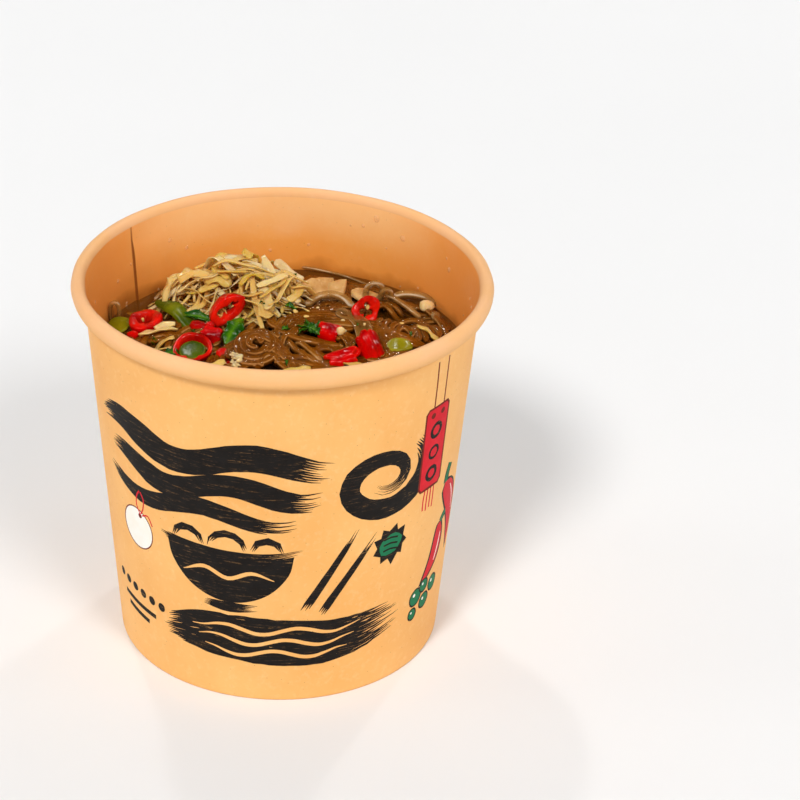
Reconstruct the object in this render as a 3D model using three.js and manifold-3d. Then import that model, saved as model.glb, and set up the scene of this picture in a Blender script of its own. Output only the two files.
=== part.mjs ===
// Instant noodle cup: an open paper-board cup with a rolled rim, filled with broth, glass noodles,
// shredded cabbage and pieces of chili and pepper. Millimetres, +Z up, front towards -Y,
// origin at the centre of the ring that the cup stands on.
import * as THREE from "three";
import { mergeVertices } from "three/addons/utils/BufferGeometryUtils.js";
import Module from "manifold-3d";

const wasm = await Module();
wasm.setup();

// ---------------------------------------------------------------- driving dimensions
const CUP_H = 112; // floor to the top of the rolled rim
const RIM_R = 59; // outermost radius, at the rolled rim
const RIM_HALF_W = 2.1; // half the width of the rolled rim's section
const RIM_HALF_H = 2.85; // half the height of the rolled rim's section
const NECK_R = 55.3; // outer radius of the wall just under the rim
const FOOT_R = 46.5; // outer radius of the wall at the floor
const BOARD = 0.6; // thickness of the paper board
const GAP = 0.3; // clearance between touching pieces
const FOLD_H = 7.2; // height of the edge folded in and up under the base
const BASE_Z = 8; // underside of the base disc
const SKIRT_Z = 0.95; // lower edge of the base disc's skirt
const LAP_AT = 233.2; // where the inner end of the board shows, degrees from the front towards +X
const LAP_DEG = 10; // width of the lapped side seam, degrees
const LAP_STEP = 0.5; // how far the lapped board stands proud
const STATIONS = 56; // facets round the cup, without those of the seam
const BROTH_Z = 86; // level of the broth
const HEAP_BOTTOM_Z = 58; // how deep the noodle heap is modelled
const CABBAGE_BOTTOM_Z = 84.2; // underside of the cabbage heap
const GROW = 0.35; // how much larger than its piece a pocket is

const rad = THREE.MathUtils.degToRad;
const WALL_SLOPE = (NECK_R - FOOT_R) / (CUP_H - 2 * RIM_HALF_H);
const wallOuter = (z) => FOOT_R + WALL_SLOPE * z;
const wallInner = (z) => wallOuter(z) - BOARD;

// ---------------------------------------------------------------- solids and meshes
function welded(geometry) {
  const g = geometry.clone();
  g.deleteAttribute("normal");
  g.deleteAttribute("uv");
  return mergeVertices(g, 1e-3);
}
function solid(geometry) {
  const g = welded(geometry);
  return new wasm.Manifold(
    new wasm.Mesh({
      numProp: 3,
      vertProperties: new Float32Array(g.attributes.position.array),
      triVerts: new Uint32Array(g.index.array),
    }),
  );
}
function geometryOf(manifold) {
  const m = manifold.getMesh();
  const v = new Float32Array(m.numVert * 3);
  for (let i = 0; i < m.numVert; i++)
    v.set(m.vertProperties.subarray(i * m.numProp, i * m.numProp + 3), i * 3);
  const g = new THREE.BufferGeometry();
  g.setAttribute("position", new THREE.BufferAttribute(v, 3));
  g.setIndex(new THREE.BufferAttribute(new Uint32Array(m.triVerts), 1));
  g.computeVertexNormals();
  return g;
}
// A cut can free a crumb: the piece keeps its main body.
function mainBody(manifold) {
  return manifold
    .decompose()
    .reduce((a, b) => (b.volume() > a.volume() ? b : a));
}
function warp(geometry, f) {
  const p = geometry.attributes.position,
    v = new THREE.Vector3();
  for (let i = 0; i < p.count; i++) {
    f(v.fromBufferAttribute(p, i));
    p.setXYZ(i, v.x, v.y, v.z);
  }
  return geometry;
}
function named(name, geometry, color, roughness, metalness = 0) {
  const m = new THREE.Mesh(
    geometry,
    new THREE.MeshStandardMaterial({
      color: new THREE.Color(...color),
      roughness,
      metalness,
    }),
  );
  m.name = name;
  return m;
}

// ---------------------------------------------------------------- turned pieces
// Angles round the cup from the front towards +X, with extra ones at the two edges of the side seam.
const stations = [];
for (let i = 0; i < STATIONS; i++) stations.push((360 * i) / STATIONS);
const LAP_END = LAP_AT - LAP_DEG;
for (const edge of [LAP_AT, LAP_AT + 0.4, LAP_END, LAP_END - 0.4]) {
  const near = stations.findIndex((s) => Math.abs(s - edge) < 0.9);
  if (near >= 0) stations[near] = edge;
  else stations.push(edge);
}
stations.sort((a, b) => a - b);

// 1 where the inner end of the board lies proud, falling back to 0 beyond the seam.
function innerLap(deg) {
  if (deg > LAP_AT + 0.2) return 0;
  return THREE.MathUtils.smoothstep(deg, LAP_END - 9, LAP_END);
}
// 1 where the outer end of the board lies proud: from its cut edge round to the far side of the seam.
function outerLap(deg) {
  if (deg < LAP_END - 0.2) return 0;
  return 1 - THREE.MathUtils.smoothstep(deg, LAP_AT, LAP_AT + 9);
}
// profile: [radius, z, weight of the inner lap, weight of the outer lap], up the outside and down the inside.
function turned(profile) {
  const n = stations.length,
    k = profile.length;
  const g = new THREE.LatheGeometry(
    profile.map((p) => new THREE.Vector2(p[0], p[1])),
    n,
  );
  const pos = g.attributes.position;
  for (let i = 0; i <= n; i++)
    for (let j = 0; j < k; j++) {
      const deg = stations[i % n];
      const [r0, z, wi = 0, wo = 0] = profile[j];
      const r =
        r0 - wi * LAP_STEP * innerLap(deg) + wo * LAP_STEP * outerLap(deg);
      pos.setXYZ(i * k + j, r * Math.sin(rad(deg)), -r * Math.cos(rad(deg)), z);
    }
  return g;
}

const rimR = RIM_R - RIM_HALF_W,
  rimZ = CUP_H - RIM_HALF_H;
const curl = (deg, inset) => [
  rimR + (RIM_HALF_W - inset) * Math.cos(rad(deg)),
  rimZ + (RIM_HALF_H - inset) * Math.sin(rad(deg)),
];
const foldIn = (z) => wallInner(z) - 2 * GAP - 2 * BOARD; // inner face of the folded-in edge
const foldOut = (z) => foldIn(z) + BOARD;

const wallProfile = [
  [FOOT_R, 0],
  [wallOuter(4), 4, 0, 1],
  [wallOuter(102), 102, 0, 1],
  [wallOuter(105.6), 105.6],
  ...[200, 150, 100, 50, 0, -60, -120].map((a) => curl(a, BOARD)),
  ...[-120, -85, -50, -22, 0, 30, 60, 90, 125, 165].map((a) => curl(a, 0)),
  [wallInner(105), 105],
  [wallInner(102), 102, 1, 0],
  [wallInner(12), 12, 1, 0],
  [wallInner(9.4), 9.4],
  [wallInner(BOARD), BOARD],
  [foldOut(BOARD), BOARD],
  [foldOut(FOLD_H), FOLD_H],
  [foldIn(FOLD_H), FOLD_H],
  [foldIn(0), 0],
  [FOOT_R, 0],
];
const baseProfile = [
  [0, BASE_Z],
  [foldOut(BASE_Z) + GAP, BASE_Z],
  [foldOut(SKIRT_Z) + GAP, SKIRT_Z],
  [wallInner(SKIRT_Z) - GAP, SKIRT_Z],
  [wallInner(BASE_Z + BOARD) - GAP, BASE_Z + BOARD],
  [0, BASE_Z + BOARD],
];
const brothFloor = BASE_Z + BOARD + GAP;
const brothProfile = [
  [0, brothFloor],
  [wallInner(brothFloor) - GAP, brothFloor, 1, 0],
  [wallInner(BROTH_Z) - GAP, BROTH_Z, 1, 0],
  [0, BROTH_Z],
];

// ---------------------------------------------------------------- heaps
// Uneven ridges left by strands that lie across each other.
const strands = (x, y) =>
  0.75 * Math.sin(0.55 * x + 0.9 * Math.sin(0.21 * y + 0.6)) *
    Math.cos(0.42 * y - 0.5 * Math.sin(0.17 * x)) +
  0.45 * Math.sin(0.83 * y + 0.31 * x + 1.7);
const mound = (x, y, cx, cy, sx, sy, h) =>
  h * Math.exp(-(((x - cx) / sx) ** 2) - ((y - cy) / sy) ** 2);
const noodleTop = (x, y) =>
  86.3 +
  mound(x, y, 8, 4, 24, 22, 4.4) +
  mound(x, y, -7.7, -5.3, 9, 8, 2.4) +
  mound(x, y, 34, 11, 13, 13, 2.4) +
  mound(x, y, 4, -26, 26, 14, 2.6) +
  mound(x, y, -18, 9, 13, 10, 2.6) +
  strands(x, y);
const noodleEdge = (a) =>
  48.6 +
  1.2 * Math.sin(a + 0.5) +
  0.8 * Math.sin(3 * a + 2) +
  0.6 * Math.sin(7 * a + 0.4);
const cabbageTop = (x, y) =>
  88.2 +
  mound(x, y, -9, 27, 12, 10, 5.6) +
  mound(x, y, -24, 27, 9, 7, 2.6) +
  0.8 * Math.sin(0.9 * x + 0.4 * y) * Math.cos(0.8 * y - 0.3 * x);
const CABBAGE = { x: -13, y: 28.5, a: 20, b: 14.5 };
const cabbageEdge = (a) =>
  1 + 0.07 * Math.sin(3 * a + 1) + 0.06 * Math.sin(5 * a + 2.2);

// A heap is a turned dome whose rings follow an uneven outline and whose top follows a height.
// It widens from its foot to the full outline at the flare.
function heap({ x, y, a, b, edge, foot, bottom, flare, shoulder, top, rings, facets, grow = 0 }) {
  const profile = [
    new THREE.Vector2(0, 0),
    new THREE.Vector2(foot, 0),
    new THREE.Vector2(1, 1),
    ...(grow
      ? [new THREE.Vector2(1, 2), new THREE.Vector2(0, 2)]
      : [
          new THREE.Vector2(1, 2),
          ...rings.map((r) => new THREE.Vector2(r, 3)),
          new THREE.Vector2(0, 3),
        ]),
  ];
  return warp(
    new THREE.LatheGeometry(profile, facets).rotateX(Math.PI / 2),
    (v) => {
      const r = Math.hypot(v.x, v.y),
        t = Math.atan2(v.x, -v.y),
        e = r < 1e-6 ? 0 : r * edge(t);
      const level = Math.round(v.z);
      v.x = x + (e * a + Math.sign(e) * grow * r) * Math.sin(t);
      v.y = y - (e * b + Math.sign(e) * grow * r) * Math.cos(t);
      v.z =
        level === 0
          ? bottom - grow
          : level === 1
            ? flare
            : level === 2
              ? grow
                ? 125
                : shoulder
              : top(v.x, v.y) - (r > 0.9 ? 0.7 : 0);
    },
  );
}
const noodleHeap = (grow) =>
  heap({
    x: 0, y: 0, a: 1, b: 1, edge: noodleEdge, foot: 0.9, bottom: HEAP_BOTTOM_Z, flare: 82, shoulder: 85.2,
    top: noodleTop, rings: [0.95, 0.84, 0.72, 0.59, 0.46, 0.33, 0.2, 0.09], facets: 40, grow,
  });
const cabbageHeap = (grow) =>
  heap({
    ...CABBAGE, edge: cabbageEdge, foot: 0.97, bottom: CABBAGE_BOTTOM_Z, flare: CABBAGE_BOTTOM_Z + 2, shoulder: 87.2,
    top: cabbageTop, rings: [0.92, 0.74, 0.55, 0.36, 0.17], facets: 24, grow,
  });

// ---------------------------------------------------------------- toppings
const outline = (a, b, wobble, seed, n) => {
  const pts = [];
  for (let i = 0; i < n; i++) {
    const t = (2 * Math.PI * i) / n,
      r = 1 + wobble * Math.sin(2 * t + seed) + 0.5 * wobble * Math.sin(3 * t + 2 * seed);
    pts.push(new THREE.Vector2(a * r * Math.cos(t), b * r * Math.sin(t)));
  }
  return pts;
};
// A slice of a hollow pod: an uneven ring, wider on one side.
function podRing({ a, b, wall, height, wobble = 0.05, seed = 0, taper = 0.12 }, grow) {
  const shape = new THREE.Shape(outline(a + grow, b + grow, wobble, seed, 14));
  if (!grow) shape.holes.push(new THREE.Path(outline(a - wall, b - wall, wobble, seed, 14).reverse()));
  const depth = height + 2 * grow;
  return warp(
    new THREE.ExtrudeGeometry(shape, { depth, bevelEnabled: false }).translate(0, 0, -depth / 2),
    (v) => {
      const k = 1 + (taper * v.z) / height;
      v.x *= k;
      v.y *= k;
    },
  );
}
// A piece cut from a pod's side: part of its wall, curved across and tapered along.
function podPiece({ radius, wall, length, arc, taper = 0.2 }, grow) {
  const half = rad(arc / 2),
    n = 6,
    pts = [];
  const over = grow / radius;
  for (let i = 0; i <= n; i++) {
    const t = -half - over + ((2 * (half + over)) * i) / n;
    pts.push(new THREE.Vector2((radius + grow) * Math.sin(t), (radius + grow) * Math.cos(t)));
  }
  for (let i = n; i >= 0; i--) {
    const t = -half - over + ((2 * (half + over)) * i) / n,
      r = Math.max(radius - wall - grow, 0.2);
    pts.push(new THREE.Vector2(r * Math.sin(t), r * Math.cos(t)));
  }
  const depth = length + 2 * grow;
  return warp(
    new THREE.ExtrudeGeometry(new THREE.Shape(pts.reverse()), { depth, steps: 2, bevelEnabled: false })
      .translate(0, -radius + wall, -depth / 2)
      .rotateX(Math.PI / 2),
    (v) => {
      const k = 1 - (taper * v.y) / length;
      v.x *= k;
      v.z *= 1 - (0.5 * taper * v.y) / length;
    },
  );
}
// A strip bent upwards along its length, with rounded ends.
function strip({ length, width, thick, bend = 60, curl: across = 0 }, grow) {
  const L = length + 2 * grow,
    R = length / rad(bend);
  return warp(
    new THREE.BoxGeometry(L, width + 2 * grow, thick + 2 * grow, 8, 2, 1),
    (v) => {
      const u = v.x / L,
        narrow = 1 - 0.55 * (2 * Math.abs(u)) ** 4,
        t = v.x / R;
      v.y *= narrow;
      v.z -= across * (v.y / width) ** 2;
      const r = R + v.z;
      v.x = r * Math.sin(t);
      v.z = r * Math.cos(t) - R;
    },
  );
}
// A lump or thick flake, flattened, sagging to its sides.
function lump({ a, b, h, sag = 0, seed = 0, rough = 0.12 }, grow) {
  return warp(new THREE.IcosahedronGeometry(1, 1), (v) => {
    const n =
      1 + rough * Math.sin(3.1 * v.x + 2.3 * v.y + seed) * Math.cos(2.7 * v.z - 1.9 * v.y + seed);
    v.z = Math.sign(v.z) * Math.abs(v.z) ** 0.75;
    v.x *= (a + grow) * n;
    v.y *= (b + grow) * n;
    v.z = v.z * (h / 2 + grow) * n - sag * ((v.x / a) ** 2);
  });
}

const RED = [0.66, 0.02, 0.012],
  GREEN = [0.1, 0.17, 0.02],
  OLIVE = [0.34, 0.36, 0.04],
  PALE = [0.72, 0.56, 0.32];
// kind, size, place of its centre, turn about X, Y and Z in degrees, colour, roughness
const TOPPINGS = {
  chili_ring_left: [podRing, { a: 4.5, b: 4.3, wall: 2.3, height: 3.8, seed: 1 }, [-39.0, 13.2, 88.9], [12, -10, -5], RED, 0.25],
  chili_ring_long: [podRing, { a: 5.5, b: 3.5, wall: 2.1, height: 4.2, seed: 2, wobble: 0.06 }, [-16.2, 15.0, 93.0], [78, -34, 26], RED, 0.25],
  chili_lump_mid: [podPiece, { radius: 2.9, wall: 1.4, length: 5.2, arc: 165 }, [-20.0, 4.4, 90.5], [18, -16, 70], RED, 0.25],
  chili_ring_large: [podRing, { a: 5.5, b: 5.5, wall: 1.1, height: 2.2, seed: 4, wobble: 0.03 }, [-25.2, -2.8, 88.9], [15, -3, -5], RED, 0.25],
  pepper_disc: [lump, { a: 3.7, b: 3.8, h: 1.0, seed: 5, rough: 0.05 }, [-25.2, -2.9, 88.8], [15, -3, -5], GREEN, 0.3],
  chili_piece_centre: [podPiece, { radius: 3.1, wall: 1.5, length: 5.8, arc: 200 }, [13.2, 3.0, 92.2], [16, -37, 69], RED, 0.25],
  chili_ring_right: [podRing, { a: 4.0, b: 3.9, wall: 2.2, height: 2.8, seed: 6, wobble: 0.10 }, [23.8, 15.8, 92.3], [55, -5, 9], RED, 0.25],
  chili_fold_right: [podPiece, { radius: 3.8, wall: 1.5, length: 8.2, arc: 150 }, [24.7, -3.8, 91.6], [49, -8, 23], RED, 0.25],
  chili_slice_near: [podPiece, { radius: 3.4, wall: 1.4, length: 8.4, arc: 150 }, [16.6, -10.6, 91.2], [-16, -27, 107], RED, 0.25],
  green_strip_left: [strip, { length: 22, width: 4.6, thick: 2.0, bend: 42, curl: 1.0 }, [-30.8, 17.6, 90.6], [12, 1, -57], GREEN, 0.3],
  green_leaf_centre: [strip, { length: 12.5, width: 5.2, thick: 1.0, bend: 50, curl: 1.6 }, [-13.6, 4.4, 92.2], [10, -11, 62], GREEN, 0.35],
  pepper_slice_left: [lump, { a: 3.9, b: 2.9, h: 1.7, sag: 0.5, seed: 7, rough: 0.06 }, [-46.9, 14.0, 87.4], [17, -19, 28], OLIVE, 0.35],
  pepper_slice_right: [lump, { a: 4.1, b: 2.7, h: 1.7, sag: 0.6, seed: 8, rough: 0.06 }, [32.9, -0.6, 89.8], [16, -3, 2], OLIVE, 0.35],
  cabbage_chip_a: [lump, { a: 4.0, b: 3.3, h: 1.9, seed: 9, rough: 0.16 }, [8.2, 33.8, 90.4], [31, -2, 10], PALE, 0.45],
  cabbage_chip_b: [lump, { a: 3.3, b: 2.7, h: 1.7, seed: 10, rough: 0.16 }, [15.6, 34.8, 90.0], [31, -7, -5], PALE, 0.45],
  cabbage_chip_c: [lump, { a: 3.2, b: 2.1, h: 1.6, seed: 11, rough: 0.14 }, [22.6, 32.2, 89.6], [24, -2, -2], PALE, 0.45],
  white_stalk: [strip, { length: 10.5, width: 2.8, thick: 1.2, bend: 14, curl: 0.0 }, [1.6, 37.2, 94.3], [20, 16, -34], PALE, 0.45],
  chili_ring_front_a: [podRing, { a: 4.8, b: 4.4, wall: 1.3, height: 2.6, seed: 12 }, [-9.5, -23.5, 90.6], [-10, 14, 30], RED, 0.25],
  chili_ring_front_b: [podRing, { a: 3.9, b: 4.3, wall: 1.5, height: 3.2, seed: 13 }, [30.5, -24.5, 89.4], [16, -12, -20], RED, 0.25],
  chili_piece_front: [podPiece, { radius: 3.4, wall: 1.4, length: 7.4, arc: 180 }, [-33.0, -11.5, 88.4], [4, 6, 34], RED, 0.25],
  green_strip_front: [strip, { length: 16, width: 4.4, thick: 2.0, bend: 60, curl: 1.0 }, [9.0, -33.5, 90.4], [4, 0, 14], GREEN, 0.3],
  pepper_slice_front: [lump, { a: 4.0, b: 3.2, h: 1.9, sag: 0.6, seed: 14, rough: 0.06 }, [-25.5, -29.5, 88.4], [-6, 4, 40], OLIVE, 0.35],
  cabbage_chip_front: [lump, { a: 4.2, b: 3.4, h: 2.4, seed: 15, rough: 0.15 }, [19.5, -37.0, 88.3], [-8, 4, 26], PALE, 0.45],
};
const placement = ([, , at, turn]) =>
  new THREE.Matrix4().compose(
    new THREE.Vector3(...at),
    new THREE.Quaternion().setFromEuler(new THREE.Euler(...turn.map(rad), "ZYX")),
    new THREE.Vector3(1, 1, 1),
  );

// ---------------------------------------------------------------- assembly
const root = new THREE.Group();
root.name = "instant_noodle_cup";
const cup = new THREE.Group(),
  contents = new THREE.Group(),
  toppings = new THREE.Group();
root.add(cup, contents, toppings);

cup.add(named("cup_wall", welded(turned(wallProfile)), [0.86, 0.52, 0.2], 0.6));
cup.add(named("cup_base", welded(turned(baseProfile)), [0.86, 0.52, 0.2], 0.6));

let broth = solid(turned(brothProfile)).subtract(solid(noodleHeap(GROW)));
const cabbageTool = solid(cabbageHeap(GROW));
let noodles = solid(noodleHeap(0)).subtract(cabbageTool);
broth = broth.subtract(cabbageTool);
let cabbage = solid(cabbageHeap(0));
for (const [name, topping] of Object.entries(TOPPINGS)) {
  const [make, size, , , color, roughness] = topping,
    matrix = placement(topping);
  const mesh = named(name, welded(make(size, 0)), color, roughness);
  mesh.position.setFromMatrixPosition(matrix);
  mesh.quaternion.setFromRotationMatrix(matrix);
  toppings.add(mesh);
  const pocket = solid(make(size, GROW).applyMatrix4(matrix));
  broth = broth.subtract(pocket);
  noodles = noodles.subtract(pocket);
  cabbage = cabbage.subtract(pocket);
}
contents.add(named("broth", geometryOf(mainBody(broth)), [0.16, 0.075, 0.02], 0.12));
contents.add(named("noodle_heap", geometryOf(mainBody(noodles)), [0.3, 0.18, 0.07], 0.2));
contents.add(named("cabbage_heap", geometryOf(mainBody(cabbage)), [0.72, 0.56, 0.28], 0.45));

export default root;
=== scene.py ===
import math

import bpy
import numpy as np
from mathutils import Matrix, Vector, noise
from mathutils.geometry import delaunay_2d_cdt


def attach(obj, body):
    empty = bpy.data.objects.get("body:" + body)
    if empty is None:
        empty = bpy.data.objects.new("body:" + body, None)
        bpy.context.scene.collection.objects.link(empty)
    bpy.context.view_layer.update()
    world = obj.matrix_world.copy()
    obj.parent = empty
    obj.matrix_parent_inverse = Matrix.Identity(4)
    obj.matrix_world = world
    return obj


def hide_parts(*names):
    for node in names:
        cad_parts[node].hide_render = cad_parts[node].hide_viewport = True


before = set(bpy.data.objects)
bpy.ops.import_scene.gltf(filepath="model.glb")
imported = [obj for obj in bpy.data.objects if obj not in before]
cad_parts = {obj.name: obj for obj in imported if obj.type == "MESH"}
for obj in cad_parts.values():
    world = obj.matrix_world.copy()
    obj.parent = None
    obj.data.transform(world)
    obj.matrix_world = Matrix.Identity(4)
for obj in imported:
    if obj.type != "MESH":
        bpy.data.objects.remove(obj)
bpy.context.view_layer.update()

# All sizes below are in millimetres, and meshes are turned to metres when they are made.
MM = 0.001

# ------------------------------------------------------------------ sizes shared with the solids
CUP_H, RIM_R, RIM_HW, RIM_HH = 112.0, 59.0, 2.1, 2.85
NECK_R, FOOT_R, BOARD, GAP = 55.3, 46.5, 0.6, 0.3
FOLD_H, BASE_Z, SKIRT_Z = 7.2, 8.0, 0.95
LAP_AT, LAP_DEG, LAP_STEP = 233.2, 10.0, 0.5
BROTH_Z = 86.0
SLOPE = (NECK_R - FOOT_R) / (CUP_H - 2 * RIM_HH)


def wall_out(z):
    return FOOT_R + SLOPE * z


def wall_in(z):
    return wall_out(z) - BOARD


# ------------------------------------------------------------------ camera, lights, stage
scene = bpy.context.scene
cam_data = bpy.data.cameras.new("camera")
cam_data.lens, cam_data.sensor_width = 126.0, 36.0
cam_data.clip_start, cam_data.clip_end = 0.05, 20.0
cam = bpy.data.objects.new("camera", cam_data)
scene.collection.objects.link(cam)
right = Vector((0.999045, -0.031377, 0.0304)).normalized()
back = Vector((-0.042194, -0.87339, 0.48519)).normalized()
up = back.cross(right).normalized()
right = up.cross(back).normalized()
cam.matrix_world = Matrix.Translation(Vector((0.0, -0.699122, 0.460341))) @ Matrix(
    (right, up, back)
).transposed().to_4x4()
scene.camera = cam
scene.view_settings.view_transform = "Standard"
scene.view_settings.look = "None"


def soft_sun(name, azimuth, elevation, strength, spread, color=(1, 1, 1), only=None):
    """A far soft light: azimuth from the front towards +X, elevation over the floor, in degrees."""
    d = bpy.data.lights.new(name, "SUN")
    d.energy, d.angle, d.color = strength, math.radians(spread), color
    o = bpy.data.objects.new(name, d)
    a, e = math.radians(azimuth), math.radians(elevation)
    at = Vector((math.cos(e) * math.sin(a), -math.cos(e) * math.cos(a), math.sin(e)))
    o.location = at * 2
    o.rotation_mode = "QUATERNION"
    o.rotation_quaternion = at.to_track_quat("Z", "Y")
    o.visible_glossy = only != "diffuse"
    o.visible_diffuse = only != "gloss"
    scene.collection.objects.link(o)
    return o


soft_sun("key", -24, 46, 1.7, 12, (1.0, 0.995, 0.985), only="diffuse")
soft_sun("fill", 32, 42, 1.08, 18, only="diffuse")
# small lamps that give the wet pieces their crisp glints
for k, (az, el, e) in enumerate(((-34, 50, 0.7), (40, 46, 0.6), (4, 66, 0.5), (-100, 44, 0.45), (104, 48, 0.45), (150, 36, 0.3), (-146, 34, 0.3))):
    soft_sun(f"glint_{k}", az, el, e, 5, only="gloss")
soft_sun("back_left", -158, 56, 0.3, 3)
soft_sun("back_right", 150, 48, 0.26, 3)
soft_sun("side_left", -88, 9, 0.55, 16)
soft_sun("side_right", 84, 9, 0.5, 16)
world = bpy.data.worlds.new("world")
scene.world = world
world.cycles_visibility.glossy = False
world.use_nodes = True
world.node_tree.nodes["Background"].inputs["Color"].default_value = (1, 1, 1, 1)
world.node_tree.nodes["Background"].inputs["Strength"].default_value = 0.3


# ------------------------------------------------------------------ materials
def srgb(r, g, b):
    def lin(c):
        c /= 255.0
        return c / 12.92 if c <= 0.04045 else ((c + 0.055) / 1.055) ** 2.4

    return (lin(r), lin(g), lin(b), 1.0)


class Mat:
    """A small helper round one material's node tree."""

    def __init__(self, name, rough=0.5, color=(0.5, 0.5, 0.5, 1), **sockets):
        self.m = bpy.data.materials.new(name)
        self.m.use_nodes = True
        self.nt = self.m.node_tree
        self.b = self.nt.nodes["Principled BSDF"]
        self.b.inputs["Roughness"].default_value = rough
        self.b.inputs["Base Color"].default_value = color
        for k, v in sockets.items():
            self.b.inputs[k.replace("_", " ")].default_value = v
        self._coord = None

    def node(self, kind, **props):
        n = self.nt.nodes.new(kind)
        for k, v in props.items():
            setattr(n, k, v)
        return n

    def link(self, a, b):
        self.nt.links.new(a, b)

    def coord(self):
        if self._coord is None:
            self._coord = self.node("ShaderNodeTexCoord").outputs["Object"]
        return self._coord

    def mapped(self, scale):
        m = self.node("ShaderNodeMapping")
        m.inputs["Scale"].default_value = scale
        self.link(self.coord(), m.inputs["Vector"])
        return m.outputs["Vector"]

    def noise(self, scale, detail=3.0, rough=0.55, vector=None, distortion=0.0):
        n = self.node("ShaderNodeTexNoise")
        n.inputs["Scale"].default_value = scale
        n.inputs["Detail"].default_value = detail
        n.inputs["Roughness"].default_value = rough
        n.inputs["Distortion"].default_value = distortion
        self.link(vector if vector is not None else self.coord(), n.inputs["Vector"])
        return n.outputs["Fac"]

    def voronoi(self, scale, vector=None, feature="F1", out="Distance"):
        n = self.node("ShaderNodeTexVoronoi", feature=feature)
        n.inputs["Scale"].default_value = scale
        self.link(vector if vector is not None else self.coord(), n.inputs["Vector"])
        return n.outputs[out]

    def ramp(self, value, a, b, lo=0.0, hi=1.0):
        n = self.node("ShaderNodeMapRange")
        n.inputs["From Min"].default_value, n.inputs["From Max"].default_value = a, b
        n.inputs["To Min"].default_value, n.inputs["To Max"].default_value = lo, hi
        self.link(value, n.inputs["Value"])
        return n.outputs["Result"]

    def math(self, op, a, b=None):
        n = self.node("ShaderNodeMath", operation=op)
        for i, x in enumerate((a, b)):
            if x is None:
                continue
            if isinstance(x, (int, float)):
                n.inputs[i].default_value = x
            else:
                self.link(x, n.inputs[i])
        return n.outputs[0]

    def mix(self, fac, a, b, blend="MIX"):
        n = self.node("ShaderNodeMix", data_type="RGBA", blend_type=blend)
        for sock, x in ((n.inputs[0], fac), (n.inputs[6], a), (n.inputs[7], b)):
            if isinstance(x, (int, float)):
                sock.default_value = x
            elif isinstance(x, (tuple, list)):
                sock.default_value = x
            else:
                self.link(x, sock)
        return n.outputs[2]

    def attribute(self, name, out="Fac"):
        return self.node("ShaderNodeAttribute", attribute_name=name).outputs[out]

    def height(self):
        """Height above the floor, in metres."""
        s = self.node("ShaderNodeSeparateXYZ")
        self.link(self.coord(), s.inputs[0])
        return s.outputs["Z"]

    def up(self):
        """How far the surface faces upwards, -1 to 1."""
        s = self.node("ShaderNodeSeparateXYZ")
        self.link(self.node("ShaderNodeNewGeometry").outputs["Normal"], s.inputs[0])
        return s.outputs["Z"]

    def band(self, value, middle, half):
        """1 at middle, falling to 0 at half on both sides."""
        return self.ramp(self.math("ABSOLUTE", self.math("SUBTRACT", value, middle)), half, half * 0.25, 0, 1)

    def bump(self, value, strength, distance, normal=None):
        n = self.node("ShaderNodeBump")
        n.inputs["Strength"].default_value = strength
        n.inputs["Distance"].default_value = distance
        self.link(value, n.inputs["Height"])
        if normal is not None:
            self.link(normal, n.inputs["Normal"])
        return n.outputs["Normal"]

    def color(self, out):
        self.link(out, self.b.inputs["Base Color"])

    def rough(self, out):
        self.link(out, self.b.inputs["Roughness"])

    def normal(self, out):
        self.link(out, self.b.inputs["Normal"])


def kraft_color(M, base, dark, light, streak=True):
    """Kraft board: cloudy tone, fine fibres, dark specks and pale flecks."""
    cloud = M.ramp(M.noise(28, 4, 0.6), 0.3, 0.72)
    c = M.mix(cloud, base, dark)
    fine = M.noise(520, 5, 0.65)
    c = M.mix(M.ramp(fine, 0.52, 0.78, 0, 0.35), c, light)
    fibre = M.noise(240, 6, 0.7, M.mapped((1.0, 1.0, 0.35)), 1.2)
    c = M.mix(M.ramp(fibre, 0.56, 0.7, 0, 0.3), c, dark)
    spots = M.voronoi(420)
    c = M.mix(M.ramp(spots, 0.075, 0.045, 0, 0.55), c, srgb(150, 92, 42))
    return c, fine


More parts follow.
